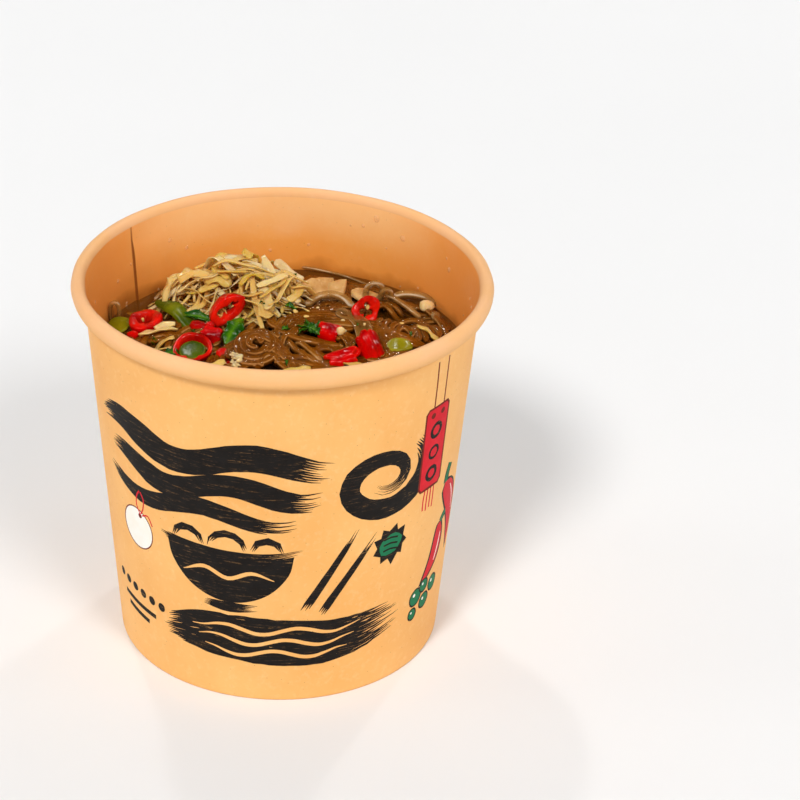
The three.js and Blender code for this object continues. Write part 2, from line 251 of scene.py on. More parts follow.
def kraft(name, base, dark, light, rough, inside=False):
    M = Mat(name, rough, Specular_IOR_Level=0.3)
    c, fine = kraft_color(M, base, dark, light)
    if inside:
        z = M.height()
        # Height with a noisy edge. Below it the wall turns darker and more orange towards the broth: partly oil soaked
        # into the board, partly painted shade low in the cup.
        soak_and_shade_height = M.math("ADD", z, M.ramp(M.noise(60, 3), 0.3, 0.7, -0.0022, 0.0022))
        c = M.mix(M.ramp(soak_and_shade_height, 0.1060, 0.0880, 0, 0.8), c, srgb(234, 140, 46))
        patch = M.math("MULTIPLY", M.ramp(M.noise(26, 2), 0.5, 0.62), M.ramp(z, 0.094, 0.100, 0, 0.4))
        c = M.mix(patch, c, srgb(246, 198, 150))
        # painted shade: the inner wall darker and more orange towards its left and right sides
        s = M.node("ShaderNodeSeparateXYZ")
        M.link(M.coord(), s.inputs[0])
        sides = M.ramp(M.math("ABSOLUTE", s.outputs["X"]), 0.028, 0.050, 0, 0.75)
        c = M.mix(sides, c, srgb(240, 146, 62))
        # painted light: the upper part of the back inner wall paler
        back = M.math("MULTIPLY", M.ramp(s.outputs["Y"], 0.030, 0.048), M.ramp(z, 0.096, 0.106, 0, 0.5))
        c = M.mix(back, c, srgb(252, 204, 148))
        stain = M.ramp(soak_and_shade_height, 0.0905, 0.0868, 0, 0.6)
        c = M.mix(stain, c, srgb(150, 78, 14))
        under = M.ramp(z, 0.0866, 0.0815, 0, 1)
        c = M.mix(under, c, srgb(58, 34, 12))
        c = M.mix(M.attribute("seam"), c, srgb(120, 58, 14))
    else:
        # The rolled rim: a darker tone from just under the roll upwards, and paler over its top where the noise allows;
        # the paler top is partly rubbed wear, partly a painted highlight.
        worn = M.math("MULTIPLY", M.ramp(M.height(), 0.1068, 0.1100, 0, 0.5), M.ramp(M.noise(70, 4), 0.35, 0.6, 0.55, 1))
        c = M.mix(M.ramp(M.height(), 0.1045, 0.1075, 0, 0.6), c, srgb(236, 178, 112))
        c = M.mix(worn, c, srgb(238, 186, 146))
    M.color(c)
    M.rough(M.ramp(fine, 0.3, 0.7, rough - 0.07, rough + 0.07))
    M.normal(M.bump(fine, 0.25, 0.00012, M.bump(M.noise(90, 3), 0.25, 0.0003)))
    return M.m


KRAFT = srgb(246, 188, 114)
KRAFT_DARK = srgb(237, 170, 92)
KRAFT_LIGHT = srgb(253, 214, 160)
mat_out = kraft("kraft_outside", KRAFT, KRAFT_DARK, KRAFT_LIGHT, 0.62)
mat_in = kraft(
    "kraft_inside", srgb(250, 184, 106), srgb(244, 170, 86), srgb(252, 206, 144), 0.42, True
)


def ink(name, color, rough, show):
    """Flat ink on kraft, worn through in fine streaks where it was brushed thin."""
    M = Mat(name, rough, Specular_IOR_Level=0.06)
    k, fine = kraft_color(M, KRAFT, KRAFT_DARK, KRAFT_LIGHT)
    streaks = M.noise(1.0, 5, 0.7, M.mapped((150, 150, 2300)))
    speck = M.noise(900, 3, 0.7)
    worn = M.math("MULTIPLY", M.ramp(streaks, 0.56, 0.66), M.ramp(speck, 0.4, 0.6))
    dry = M.attribute("dry")
    worn = M.math("MULTIPLY", worn, M.ramp(dry, 0.0, 1.0, show, 1.0))
    tone = M.mix(M.ramp(M.noise(300, 4), 0.35, 0.75, 0, 0.35), color, [min(1, x * 1.5 + 0.006) for x in color[:3]] + [1])
    M.color(M.mix(worn, tone, k))
    M.normal(M.bump(fine, 0.2, 0.0001))
    return M.m


mat_black = ink("ink_black", (0.012, 0.010, 0.009, 1), 0.5, 0.18)
mat_red = ink("ink_red", srgb(206, 32, 44), 0.5, 0.02)
mat_white = ink("ink_white", srgb(246, 240, 228), 0.5, 0.0)
mat_green = ink("ink_green", srgb(30, 112, 74), 0.5, 0.02)
mat_brown = ink("ink_brown", srgb(112, 34, 22), 0.5, 0.0)


def wet_food(name, skin, deep, rough, noise_scale, bump=0.25, dist=0.0002, **sockets):
    """Wet food: two tones clouded into each other, with an uneven gloss."""
    M = Mat(name, rough, **sockets)
    n = M.noise(noise_scale, 4, 0.6)
    M.color(M.mix(M.ramp(n, 0.35, 0.7), skin, deep))
    M.rough(M.ramp(M.noise(noise_scale * 2.2, 3), 0.3, 0.7, max(0.03, rough - 0.07), rough + 0.1))
    M.normal(M.bump(M.noise(noise_scale * 3, 3), bump, dist))
    return M


def chili_material():
    M = Mat("chili_flesh", 0.14, Specular_IOR_Level=0.22, Specular_Tint=(1.0, 0.82, 0.76, 1.0))
    n = M.noise(190, 4, 0.6)
    skin = M.mix(M.ramp(n, 0.4, 0.66), srgb(204, 4, 2), srgb(118, 0, 1))
    flesh = M.mix(M.ramp(n, 0.4, 0.68), srgb(226, 26, 8), srgb(150, 4, 2))
    c = M.mix(M.attribute("flesh"), skin, flesh)
    z = M.height()
    c = M.mix(M.ramp(z, 0.0886, 0.0846, 0, 0.85), c, srgb(58, 6, 1))
    M.color(c)
    M.rough(M.ramp(M.noise(500, 3), 0.3, 0.7, 0.05, 0.16))
    M.normal(M.bump(M.noise(330, 3), 0.16, 0.0002))
    return M.m


def green_material(name, skin, deep, flesh_a, flesh_b):
    M = Mat(name, 0.14, Specular_IOR_Level=0.18)
    n = M.noise(240, 4, 0.6)
    skin = M.mix(M.ramp(n, 0.35, 0.72), skin, deep)
    flesh = M.mix(M.ramp(n, 0.35, 0.72), flesh_a, flesh_b)
    c = M.mix(M.attribute("flesh"), skin, flesh)
    z = M.height()
    c = M.mix(M.ramp(z, 0.0868, 0.0838, 0, 0.8), c, srgb(34, 30, 8))
    M.color(c)
    M.rough(M.ramp(M.noise(420, 3), 0.3, 0.7, 0.12, 0.32))
    M.normal(M.bump(M.noise(500, 4), 0.35, 0.0002))
    return M.m


mat_chili = chili_material()
mat_green_pepper = green_material(
    "green_pepper_flesh", srgb(76, 92, 2), srgb(44, 64, 1), srgb(146, 144, 16), srgb(96, 108, 6)
)
mat_leaf = green_material(
    "green_leaf", srgb(22, 78, 4), srgb(10, 42, 2), srgb(96, 140, 8), srgb(44, 98, 6)
)
mat_olive = green_material(
    "olive_pepper_flesh", srgb(142, 132, 8), srgb(112, 104, 4), srgb(166, 160, 40), srgb(140, 136, 24)
)


def noodle_material(name, alpha, edge, deep, pale, painted_highlight_low, painted_highlight_high):
    """Glassy starch noodles: half clear, with a painted highlight line along each side, and painted shade on their
    undersides and where they lie deep.
    """
    M = Mat(name, 0.05, Specular_IOR_Level=0.32, Specular_Tint=(1.0, 0.92, 0.8, 1.0), Alpha=alpha)
    tint = M.attribute("tint")
    n = M.noise(150, 3)
    c = M.mix(tint, M.mix(M.ramp(n, 0.3, 0.7), *deep), M.mix(M.ramp(n, 0.3, 0.7), *pale))
    up = M.up()
    # painted shade: the undersides of the strands darker
    c = M.mix(M.ramp(up, 0.35, -0.2, 0, 0.75), c, srgb(58, 24, 1))
    # painted highlight: a bright line along each side of a strand, where the surface faces half up
    line = M.math("MULTIPLY", M.band(up, 0.56, 0.26), M.ramp(M.noise(170, 3), 0.4, 0.62, 0.08, edge))
    c = M.mix(line, c, M.mix(tint, painted_highlight_low, painted_highlight_high))
    # painted shade: strands lying deep in the heap darker
    c = M.mix(M.attribute("low"), c, srgb(46, 18, 1))
    # darker towards and under the broth level: the broth's colour, and painted shade low in the heap
    c = M.mix(M.ramp(M.height(), 0.0878, 0.0842, 0, 0.9), c, srgb(46, 20, 1))
    M.color(c)
    M.rough(M.ramp(M.noise(380, 3), 0.3, 0.7, 0.03, 0.09))
    M.normal(M.bump(M.noise(300, 2), 0.12, 0.0002))
    return M.m


def core_material():
    M = Mat("noodle_core", 0.3, Specular_IOR_Level=0.2)
    n = M.noise(240, 4)
    M.color(M.mix(M.ramp(n, 0.3, 0.7), srgb(112, 56, 6), srgb(76, 35, 2)))
    M.normal(M.bump(M.noise(300, 4), 0.5, 0.0006))
    return M.m


mat_core = core_material()
mat_noodle = noodle_material(
    "glass_noodle", 0.7, 0.8, (srgb(138, 70, 2), srgb(98, 45, 1)), (srgb(176, 108, 28), srgb(138, 76, 8)), srgb(190, 122, 46), srgb(242, 200, 134)
)
mat_loop = noodle_material(
    "glass_noodle_clear", 0.46, 1.0, (srgb(164, 102, 26), srgb(124, 68, 8)), (srgb(208, 152, 78), srgb(172, 114, 46)), srgb(234, 186, 126), srgb(255, 236, 204)
)


def cabbage_material(name, a, b, rib, spots, dark=None, alpha=1.0, **sockets):
    M = Mat(
        name, 0.22, Subsurface_Weight=0.5, Subsurface_Scale=0.002,
        Coat_Weight=0.5, Coat_Roughness=0.05, Specular_IOR_Level=0.3, Specular_Tint=(1.0, 0.88, 0.66, 1.0), Coat_Tint=(1.0, 0.95, 0.85, 1.0), Alpha=alpha, **sockets
    )
    M.b.inputs["Subsurface Radius"].default_value = (1.0, 0.7, 0.3)
    n = M.noise(170, 4, 0.6)
    c = M.mix(M.ramp(n, 0.35, 0.68), a, b)
    if dark is not None:
        c = M.mix(M.attribute("tone"), c, dark)
    c = M.mix(M.attribute("green"), c, spots)
    veins = M.noise(900, 4, 0.65)
    c = M.mix(M.ramp(veins, 0.56, 0.72, 0, 0.5), c, rib)
    z = M.height()
    c = M.mix(M.attribute("pale"), c, srgb(252, 230, 180))
    # painted shade: shreds lying deep in the heap darker and more orange
    c = M.mix(M.attribute("low"), c, srgb(230, 160, 70))
    c = M.mix(M.ramp(z, 0.0880, 0.0842, 0, 0.9), c, srgb(96, 56, 12))
    M.color(c)
    M.rough(M.ramp(n, 0.3, 0.7, 0.18, 0.4))
    M.normal(M.bump(veins, 0.45, 0.00025))
    return M.m


mat_cabbage = cabbage_material(
    "cabbage_shred", srgb(255, 216, 138), srgb(250, 192, 96), srgb(255, 238, 192), srgb(214, 182, 48), srgb(240, 180, 94), alpha=0.8
)
mat_chip = cabbage_material(
    "pale_flake", srgb(220, 180, 122), srgb(188, 134, 70), srgb(236, 206, 158), srgb(190, 160, 74)
)
mat_stalk = cabbage_material(
    "white_stalk", srgb(232, 218, 180), srgb(206, 176, 122), srgb(246, 236, 208), srgb(150, 160, 60)
)
mat_nut = cabbage_material(
    "nut_crumb", srgb(240, 212, 158), srgb(220, 184, 120), srgb(250, 234, 196), srgb(120, 80, 24)
)
mat_seed = wet_food("chili_seed", srgb(240, 206, 120), srgb(214, 170, 84), 0.3, 500).m


def broth_material():
    M = Mat("broth_liquid", 0.04, Specular_IOR_Level=0.2)
    n = M.noise(60, 4, 0.6)
    M.color(M.mix(M.ramp(n, 0.35, 0.7), srgb(118, 66, 14), srgb(74, 38, 6)))
    M.b.inputs["Alpha"].default_value = 0.6
    M.normal(M.bump(M.noise(140, 2), 0.1, 0.0004))
    return M.m


def oil_material():
    M = Mat("oil_drop", 0.05)
    n = M.noise(300, 3)
    M.color(M.mix(M.ramp(n, 0.3, 0.7), srgb(190, 120, 24), srgb(150, 84, 12)))
    M.b.inputs["Alpha"].default_value = 0.5
    return M.m


def drop_material():
    M = Mat("water_drop", 0.04)
    n = M.noise(500, 2)
    M.color(M.mix(M.ramp(n, 0.3, 0.7), srgb(255, 220, 168), srgb(250, 204, 140)))
    M.b.inputs["Alpha"].default_value = 0.3
    return M.m


mat_broth, mat_oil, mat_drop = broth_material(), oil_material(), drop_material()


def floor_material():
    M = Mat("floor_pale", 0.85)
    n = M.noise(3, 3)
    M.color(M.mix(M.ramp(n, 0.3, 0.7), (0.86, 0.86, 0.86, 1), (0.84, 0.84, 0.84, 1)))
    return M.m


# ------------------------------------------------------------------ mesh helpers
def make(name, verts, faces, mats, index=None, smooth=True, attrs=None, normals=None):
    me = bpy.data.meshes.new(name)
    me.from_pydata((np.asarray(verts, float) * MM).tolist(), [], [tuple(int(i) for i in f) for f in faces])
    for m in mats if isinstance(mats, (list, tuple)) else [mats]:
        me.materials.append(m)
    if index is not None:
        me.polygons.foreach_set("material_index", np.asarray(index, np.int32))
    me.polygons.foreach_set("use_smooth", np.full(len(me.polygons), smooth))
    for k, v in (attrs or {}).items():
        a = me.attributes.new(k, "FLOAT", "POINT")
        a.data.foreach_set("value", np.asarray(v, np.float32))
    if normals is not None:
        me.normals_split_custom_set_from_vertices([tuple(n) for n in normals])
    me.update()
    o = bpy.data.objects.new(name, me)
    scene.collection.objects.link(o)
    return o


class Bag:
    """Collects many small closed meshes into one piece."""

    def __init__(self):
        self.v, self.f, self.n, self.a, self.m = [], [], 0, {}, []

    def add(self, verts, faces, mat=0, **attrs):
        verts = np.asarray(verts, float)
        self.f += [tuple(int(i) + self.n for i in f) for f in faces]
        self.m += [mat] * len(faces)
        for k in set(self.a) | set(attrs):
            have = self.a.setdefault(k, [np.zeros(self.n)] if self.n else [])
            x = attrs.get(k, 0.0)
            have.append(np.broadcast_to(np.asarray(x, float), (len(verts),)).copy())
        self.v.append(verts)
        self.n += len(verts)

    def build(self, name, mats, **kw):
        return make(
            name, np.concatenate(self.v), self.f, mats, index=self.m,
            attrs={k: np.concatenate(x) for k, x in self.a.items()}, **kw
        )


def rot(ax, deg):
    a = math.radians(deg)
    c, s = math.cos(a), math.sin(a)
    return {
        "x": np.array([[1, 0, 0], [0, c, -s], [0, s, c]]),
        "y": np.array([[c, 0, s], [0, 1, 0], [-s, 0, c]]),
        "z": np.array([[c, -s, 0], [s, c, 0], [0, 0, 1]]),
    }[ax]


def place(v, at, turn):
    R = rot("z", turn[2]) @ rot("y", turn[1]) @ rot("x", turn[0])
    return np.asarray(v) @ R.T + np.asarray(at, float)


def pnoise(p, scale, seed=0.0):
    """Smooth noise in -1..1 at each point."""
    return np.array([noise.noise(Vector((x * scale + seed, y * scale - seed, z * scale + 2 * seed))) for x, y, z in p])


def tube(P, R, sides=8, twist=None, flat=1.0, round_ends=True):
    """A closed tube along P with radius R (number or array), flattened by flat across one axis."""
    P = np.asarray(P, float)
    n = len(P)
    R = np.broadcast_to(np.asarray(R, float), (n,)).copy()
    if round_ends:
        for k, s in ((0, 0.45), (1, 0.85)):
            R[k] *= s
            R[n - 1 - k] *= s
    T = np.gradient(P, axis=0)
    T /= np.linalg.norm(T, axis=1)[:, None] + 1e-12
    N = np.zeros_like(P)
    ref = np.array([0, 0, 1.0])
    if abs(T[0] @ ref) > 0.9:
        ref = np.array([1.0, 0, 0])
    cur = ref - (ref @ T[0]) * T[0]
    for i in range(n):
        cur = cur - (cur @ T[i]) * T[i]
        cur /= np.linalg.norm(cur) + 1e-12
        N[i] = cur
    B = np.cross(T, N)
    tw = np.zeros(n) if twist is None else np.broadcast_to(np.asarray(twist, float), (n,))
    a = np.arange(sides) * 2 * math.pi / sides
    ca, sa = np.cos(a)[None, :, None], np.sin(a)[None, :, None]
    c, s = np.cos(tw)[:, None], np.sin(tw)[:, None]
    N2, B2 = N * c + B * s, -N * s + B * c
    V = P[:, None, :] + R[:, None, None] * (flat * ca * N2[:, None, :] + sa * B2[:, None, :])
    V = V.reshape(-1, 3)
    F = []
    for i in range(n - 1):
        for j in range(sides):
            k = (j + 1) % sides
            F.append((i * sides + j, i * sides + k, (i + 1) * sides + k, (i + 1) * sides + j))
    b = len(V)
    V = np.vstack([V, P[0] - T[0] * R[0] * 0.5, P[-1] + T[-1] * R[-1] * 0.5])
    for j in range(sides):
        k = (j + 1) % sides
        F.append((b, k, j))
        F.append((b + 1, (n - 1) * sides + j, (n - 1) * sides + k))
    return V, F


def spline(points, step):
    """A smooth line through the points, resampled about every step."""
    p = np.asarray(points, float)
    q = np.vstack([2 * p[0] - p[1], p, 2 * p[-1] - p[-2]])
    out = []
    for i in range(1, len(q) - 2):
        p0, p1, p2, p3 = q[i - 1], q[i], q[i + 1], q[i + 2]
        m = max(2, int(np.linalg.norm(p2 - p1) / step) + 1)
        for t in np.linspace(0, 1, m, endpoint=False):
            out.append(
                0.5 * (2 * p1 + (p2 - p0) * t + (2 * p0 - 5 * p1 + 4 * p2 - p3) * t**2
                       + (3 * p1 - p0 - 3 * p2 + p3) * t**3)
            )
    out.append(q[-2])
    return np.array(out)


ICO = None


def ico():
    global ICO
    if ICO is None:
        import bmesh

        bm = bmesh.new()
        bmesh.ops.create_icosphere(bm, subdivisions=3, radius=1.0)
        ICO = (
            np.array([v.co[:] for v in bm.verts]),
            [tuple(v.index for v in f.verts) for f in bm.faces],
        )
        bm.free()
    return ICO


def small_ball(sub=1):
    import bmesh

    bm = bmesh.new()
    bmesh.ops.create_icosphere(bm, subdivisions=sub, radius=1.0)
    r = (np.array([v.co[:] for v in bm.verts]), [tuple(v.index for v in f.verts) for f in bm.faces])
    bm.free()
    return r


# ------------------------------------------------------------------ print on the outside of the cup
# The sheet is unrolled: s runs round the cup from the front towards +X, z up. R0 is the radius it is measured at.
R0 = 51.5
INK, RED, WHITE, GREEN, BROWN, BARE = 1, 2, 3, 4, 5, 0
prints = []  # (polygon points, material index, dryness at each point)


def poly(points, mat, dry=0.0):
    p = np.asarray(points, float)
    keep = np.linalg.norm(p - np.roll(p, 1, axis=0), axis=1) > 0.03
    p = p[keep]
    d = np.broadcast_to(np.asarray(dry, float), (len(keep),))[keep]
    area = 0.5 * np.sum(p[:, 0] * np.roll(p[:, 1], -1) - np.roll(p[:, 0], -1) * p[:, 1])
    if area < 0:
        p, d = p[::-1], d[::-1]
    if len(p) >= 3:
        prints.append((p, mat, d))


def brush(path, width, bristles=8, dry_from=0.62, fray=0.3, seed=1, mat=INK, head=0.06, step=2.2):
    """A dry-brush stroke: bands side by side that part and run out at different lengths."""
    rng = np.random.default_rng(seed)
    c = spline(path, step)
    d = np.gradient(c, axis=0)
    L = np.concatenate([[0], np.cumsum(np.linalg.norm(np.diff(c, axis=0), axis=1))])
    t = L / L[-1]
    nrm = np.stack([-d[:, 1], d[:, 0]], 1) / (np.linalg.norm(d, axis=1)[:, None] + 1e-9)
    w = np.interp(t, np.linspace(0, 1, len(width)), width) / 2
    edges = np.linspace(-1, 1, bristles + 1)
    for j in range(bristles):
        a, b = edges[j], edges[j + 1]
        outer = abs(a + b) / 2
        t0 = rng.uniform(0, head) * (0.4 + outer)
        t1 = 1 - rng.uniform(0, fray) * (0.35 + 0.65 * rng.random())
        tt = np.linspace(t0, t1, max(5, int((t1 - t0) * L[-1] / step)))
        cx = np.stack([np.interp(tt, t, c[:, k]) for k in (0, 1)], 1)
        nx = np.stack([np.interp(tt, t, nrm[:, k]) for k in (0, 1)], 1)
        wx = np.interp(tt, t, w)
        thin = np.clip((tt - dry_from) / (1 - dry_from), 0, 1)
        lap = 0.16 * (1 - 2.4 * thin)
        half = (b - a) / 2
        tip = np.sqrt(np.clip(1 - ((tt - t0) / (t1 - t0) * 2 - 1) ** 8, 0.02, 1))
        jag = rng.normal(0, 0.10 if outer > 0.75 else 0.05, (2, len(tt)))
        mid = (a + b) / 2 + rng.normal(0, 0.015, len(tt))
        lo = mid - (half + lap * half * 2) * tip + jag[0] * half
        hi = mid + (half + lap * half * 2) * tip + jag[1] * half
        lo, hi = np.minimum(lo, mid - 0.06 * half), np.maximum(hi, mid + 0.06 * half)
        left = cx + nx * (lo * wx)[:, None]
        rightp = cx + nx * (hi * wx)[:, None]
        dry = np.clip(thin * 1.2, 0, 1)
        poly(np.vstack([left, rightp[::-1]]), mat, np.concatenate([dry, dry[::-1]]))


def blob(cx, cz, rx, rz, n=28, wob=0.04, seed=0, turn=0.0):
    a = np.arange(n) * 2 * math.pi / n
    r = 1 + wob * np.sin(2 * a + seed) + 0.6 * wob * np.sin(5 * a + 2 * seed)
    x, y = rx * r * np.cos(a), rz * r * np.sin(a)
    t = math.radians(turn)
    return np.stack([cx + x * math.cos(t) - y * math.sin(t), cz + x * math.sin(t) + y * math.cos(t)], 1)


def line(points, width, mat, step=2.0, taper=False):
    c = spline(points, step)
    d = np.gradient(c, axis=0)
    nrm = np.stack([-d[:, 1], d[:, 0]], 1) / (np.linalg.norm(d, axis=1)[:, None] + 1e-9)
    w = np.full(len(c), width / 2)
    if taper:
        w *= np.clip(np.sin(np.linspace(0.12, math.pi - 0.12, len(c))) * 1.3, 0.15, 1)
    poly(np.vstack([c + nrm * w[:, None], (c - nrm * w[:, None])[::-1]]), mat)


def chili_print(x, z, length, turn, seed, outline=0.9):
    """A plain pepper pod with a stalk, flat colour inside a black line."""
    t = np.linspace(0, 1, 15)
    bend = 0.16 * length * np.sin(t * math.pi * 0.9)
    half = 0.155 * length * np.clip(np.sin(t**0.62 * math.pi) ** 0.7, 0.03, 1)
    cx, cz = (t - 0.5) * length, bend
    a = math.radians(turn)

    def put(u, v):
        return np.stack([x + u * math.cos(a) - v * math.sin(a), z + u * math.sin(a) + v * math.cos(a)], 1)

    def ring(extra, t0=0.0):
        return put(
            np.concatenate([cx - extra * (t == 0), (cx + extra * 1.5 * (t == 1))[::-1]]),
            np.concatenate([cz + half + extra, (cz - half - extra)[::-1]]),
        )

    poly(ring(outline), INK)
    poly(ring(0.0), RED)
    hx = np.linspace(0.16, 0.62, 8)
    hb = np.interp(hx, t, bend) + np.interp(hx, t, half) * 0.45
    poly(put(np.concatenate([(hx - 0.5) * length, ((hx - 0.5) * length)[::-1]]),
             np.concatenate([hb + 0.35, (hb - 0.35 * np.sin(np.linspace(0, math.pi, 8)))[::-1]])), WHITE)
    stalk = put(np.array([-0.5, -0.58, -0.68]) * length, np.array([0.0, 0.03, 0.12]) * length)
    line(stalk, 0.085 * length + 1.1, INK, 1.5)
    line(stalk, 0.085 * length, GREEN, 1.5)


# upper row: long wavy strands brushed across the front that wind up into a coil
def wave(x0, x1, z, amp, period, phase, n=16):
    x = np.linspace(x0, x1, n)
    return np.stack([x, z + amp * np.sin((x - x0) / period * 2 * math.pi + phase)], 1)


brush(wave(-61, 14, 80.2, 2.6, 44, 0.2), [4.5, 9.0, 7.6, 8.6, 7.0], 10, 0.85, 0.10, 11)
brush(wave(-57, 12, 70.6, 2.4, 40, 1.0), [3.6, 7.4, 6.4, 7.4, 6.0], 9, 0.85, 0.12, 12)
brush(wave(-60, 8, 62.2, 2.2, 42, 2.2), [2.6, 5.2, 5.8, 4.8, 4.2], 7, 0.75, 0.22, 13)
turns = np.linspace(2.5, 12.6, 34)
coil = np.stack([29.5 + (1.25 * turns) * np.cos(turns + 0.9), 71.8 + (0.98 * turns) * np.sin(turns + 0.9)], 1)
brush(coil[::-1], [5.6, 7.0, 6.4, 5.4, 4.0, 3.0], 8, 0.8, 0.14, 14)

# middle: a brushed bowl with a spoonful of coil in it, and two sticks laid across
bowl = spline([(-34, 50.5), (-32.5, 44), (-27, 37.5), (-19, 34), (-11, 34), (-3, 37.5), (2.5, 44), (4, 50.5)], 1.6)
poly(np.vstack([bowl, spline([(4, 50.5), (-4, 49.2), (-15, 48.7), (-26, 49.2), (-34, 50.5)], 2.0)[1:-1]]), INK, 0.25)
brush([(-37, 51.6), (-28, 50.2), (-15, 49.6), (-2, 50.2), (8, 52.4)], [2.2, 3.2, 3.0, 2.8, 1.6], 5, 0.6, 0.25, 21)
brush([(-23, 32.6), (-15, 31.9), (-6, 32.4)], [2.0, 3.4, 2.2], 5, 0.6, 0.3, 22)
for k, (x, w) in enumerate(((-27, 7.5), (-15, 8.6), (-3.6, 6.8))):
    a = np.linspace(0, math.pi, 13)
    arc = np.stack([x + w * 0.62 * np.cos(a), 51.6 + w * 0.62 * np.sin(a)], 1)
    brush(arc, [1.4, 2.2, 1.6], 3, 0.8, 0.15, 30 + k)
line([(-29, 41.5), (-22, 44.4), (-15, 41.8), (-8, 44.4), (-1.5, 42.2)], 1.3, BARE, 1.5, True)
brush([(7, 31.5), (12, 40), (18.5, 51), (23, 59.5)], [2.6, 2.2, 1.8, 1.3], 4, 0.7, 0.25, 23)
brush([(12, 29.8), (18, 39), (24.5, 48.5), (29, 55.0)], [2.5, 2.2, 1.8, 1.2], 4, 0.7, 0.25, 24)

# lower row: a broad dry swash with pale waves left open in it
brush([(-38, 19.2), (-22, 21.6), (-2, 20.8), (18, 20.4), (40, 24.5)], [8, 14.5, 16, 15.5, 13, 9], 15, 0.72, 0.16, 41)
for k, z in enumerate((24.6, 20.6, 16.6)):
    x = np.linspace(-27 + 2 * k, 25 - 2 * k, 14)
    line(np.stack([x, z + 1.15 * np.sin(x / 3.4 + k)], 1), 1.25, BARE, 1.5, True)

# left: a blank round tag on a red string, and a row of plain dots
poly(blob(-47, 47.5, 6.9, 6.9, 30, 0.0), BROWN)
poly(blob(-47, 47.5, 6.5, 6.5, 30, 0.0), WHITE)
poly(blob(-45.2, 52.2, 0.8, 0.8, 10, 0.0), BROWN)
line([(-45.0, 52.6), (-46.4, 55.4), (-46.0, 58.6), (-44.6, 60.8)], 0.5, RED, 1.2)
line([(-44.2, 60.6), (-43.0, 58.4), (-43.6, 55.0), (-44.8, 53.0)], 0.5, RED, 1.2)
line([(-44.2, 52.6), (-41.6, 53.6), (-40.0, 50.8)], 0.5, RED, 1.2)
for k in range(6):
    poly(blob(-60.5 + 4.3 * k, 25.6 - 0.4 * k, 1.45, 1.45, 14, 0.03, k), INK)
for k, (a, b) in enumerate(((-59, -42), (-57, -45.5))):
    line([(a, 20.2 - 3.2 * k), ((a + b) / 2, 19.4 - 3.2 * k), (b, 18.8 - 3.2 * k)], 1.5, INK, 2.5)

# right: a plain red tag hung on two cords, pods and round peppercorns
line([(45.4, 103.2), (45.5, 96), (45.5, 86.2)], 0.55, BROWN, 3)
line([(49.9, 103.4), (49.8, 96), (49.8, 86.2)], 0.55, BROWN, 3)
poly([(42.2, 87.4), (43.4, 88.8), (51.9, 88.8), (53.1, 87.4), (53.1, 62.6), (51.9, 61.2), (43.4, 61.2), (42.2, 62.6)], BROWN)
poly([(42.9, 87.1), (43.8, 88.1), (51.5, 88.1), (52.4, 87.1), (52.4, 62.9), (51.5, 61.9), (43.8, 61.9), (42.9, 62.9)], RED)
for x in (45.5, 49.8):
    poly(blob(x, 86.0, 0.95, 0.95, 12, 0.0), BROWN)
for k, z in enumerate((80.6, 73.4, 66.4)):
    poly(blob(47.65, z, 2.7 - 0.3 * (k % 2), 2.7 - 0.3 * (k % 2), 18, 0.02, k), INK)
    poly(blob(47.65, z, 1.5, 1.5, 14, 0.03, k), RED)
for k in range(4):
    line([(45.6 + 1.4 * k, 61.2), (45.2 + 1.6 * k, 57.6), (45.4 + 1.5 * k, 54.6 - 0.5 * (k % 2))], 0.6, RED, 2)
chili_print(62, 45, 27, -74, 3)
chili_print(53.5, 36.5, 19, -118, 5)
for k, (x, z, r) in enumerate(((47.4, 24.0, 2.6), (52.6, 20.6, 2.3), (51.6, 26.2, 2.0), (57.4, 24.4, 2.4), (46.6, 18.4, 1.7))):
    poly(blob(x, z, r + 0.55, r + 0.55, 18, 0.03, k), INK)
    poly(blob(x, z, r, r, 18, 0.03, k), GREEN)
    poly(blob(x - 0.3 * r, z + 0.35 * r, 0.24 * r, 0.24 * r, 8, 0.0), WHITE)
def burst(cx, cz, r, spikes, seed):
    """A rough star with uneven points."""
    r2 = np.random.default_rng(seed)
    a = np.arange(2 * spikes) * math.pi / spikes + r2.normal(0, 0.05, 2 * spikes)
    q = np.where(np.arange(2 * spikes) % 2 == 0, r * r2.uniform(0.86, 1.12, 2 * spikes), r * 0.72)
    return np.stack([cx + q * np.cos(a), cz + q * np.sin(a)], 1)


poly(burst(33.5, 48.6, 6.6, 9, 4), INK)
poly(blob(33.5, 48.6, 3.9, 3.5, 14, 0.08, 1.0, 20), GREEN)
for k in range(3):
    line([(31.0, 50.6 - 1.9 * k), (33.4, 50.9 - 1.9 * k), (36.0, 50.3 - 1.9 * k)], 0.6, INK, 1.5)

# back: two short brush strokes
brush([(112, 60), (124, 63), (138, 61), (150, 64)], [4, 6.5, 5.5, 4], 8, 0.6, 0.25, 61)
brush([(114, 50), (127, 52.6), (142, 50.4)], [3, 5, 4], 7, 0.6, 0.25, 62)

# ------------------------------------------------------------------ the cup
LAP_END = LAP_AT - LAP_DEG
deg_stations = np.arange(0, 360, 2.0).tolist()
for e in (LAP_AT - 0.35, LAP_AT, LAP_AT + 0.25, LAP_AT + 0.8, LAP_END, LAP_END - 0.25):
    near = [i for i, x in enumerate(deg_stations) if abs(x - e) < 0.7]
    for i in sorted(near, reverse=True):
        deg_stations.pop(i)
deg_stations = np.array(sorted(deg_stations + [LAP_AT - 0.35, LAP_AT, LAP_AT + 0.25, LAP_AT + 0.8, LAP_END, LAP_END - 0.25]))


def sstep(x, a, b):
    t = np.clip((x - a) / (b - a), 0, 1)
    return t * t * (3 - 2 * t)


def inner_lap(d):
    return np.where(d > LAP_AT + 0.12, 0.0, sstep(d, LAP_END - 9, LAP_END))


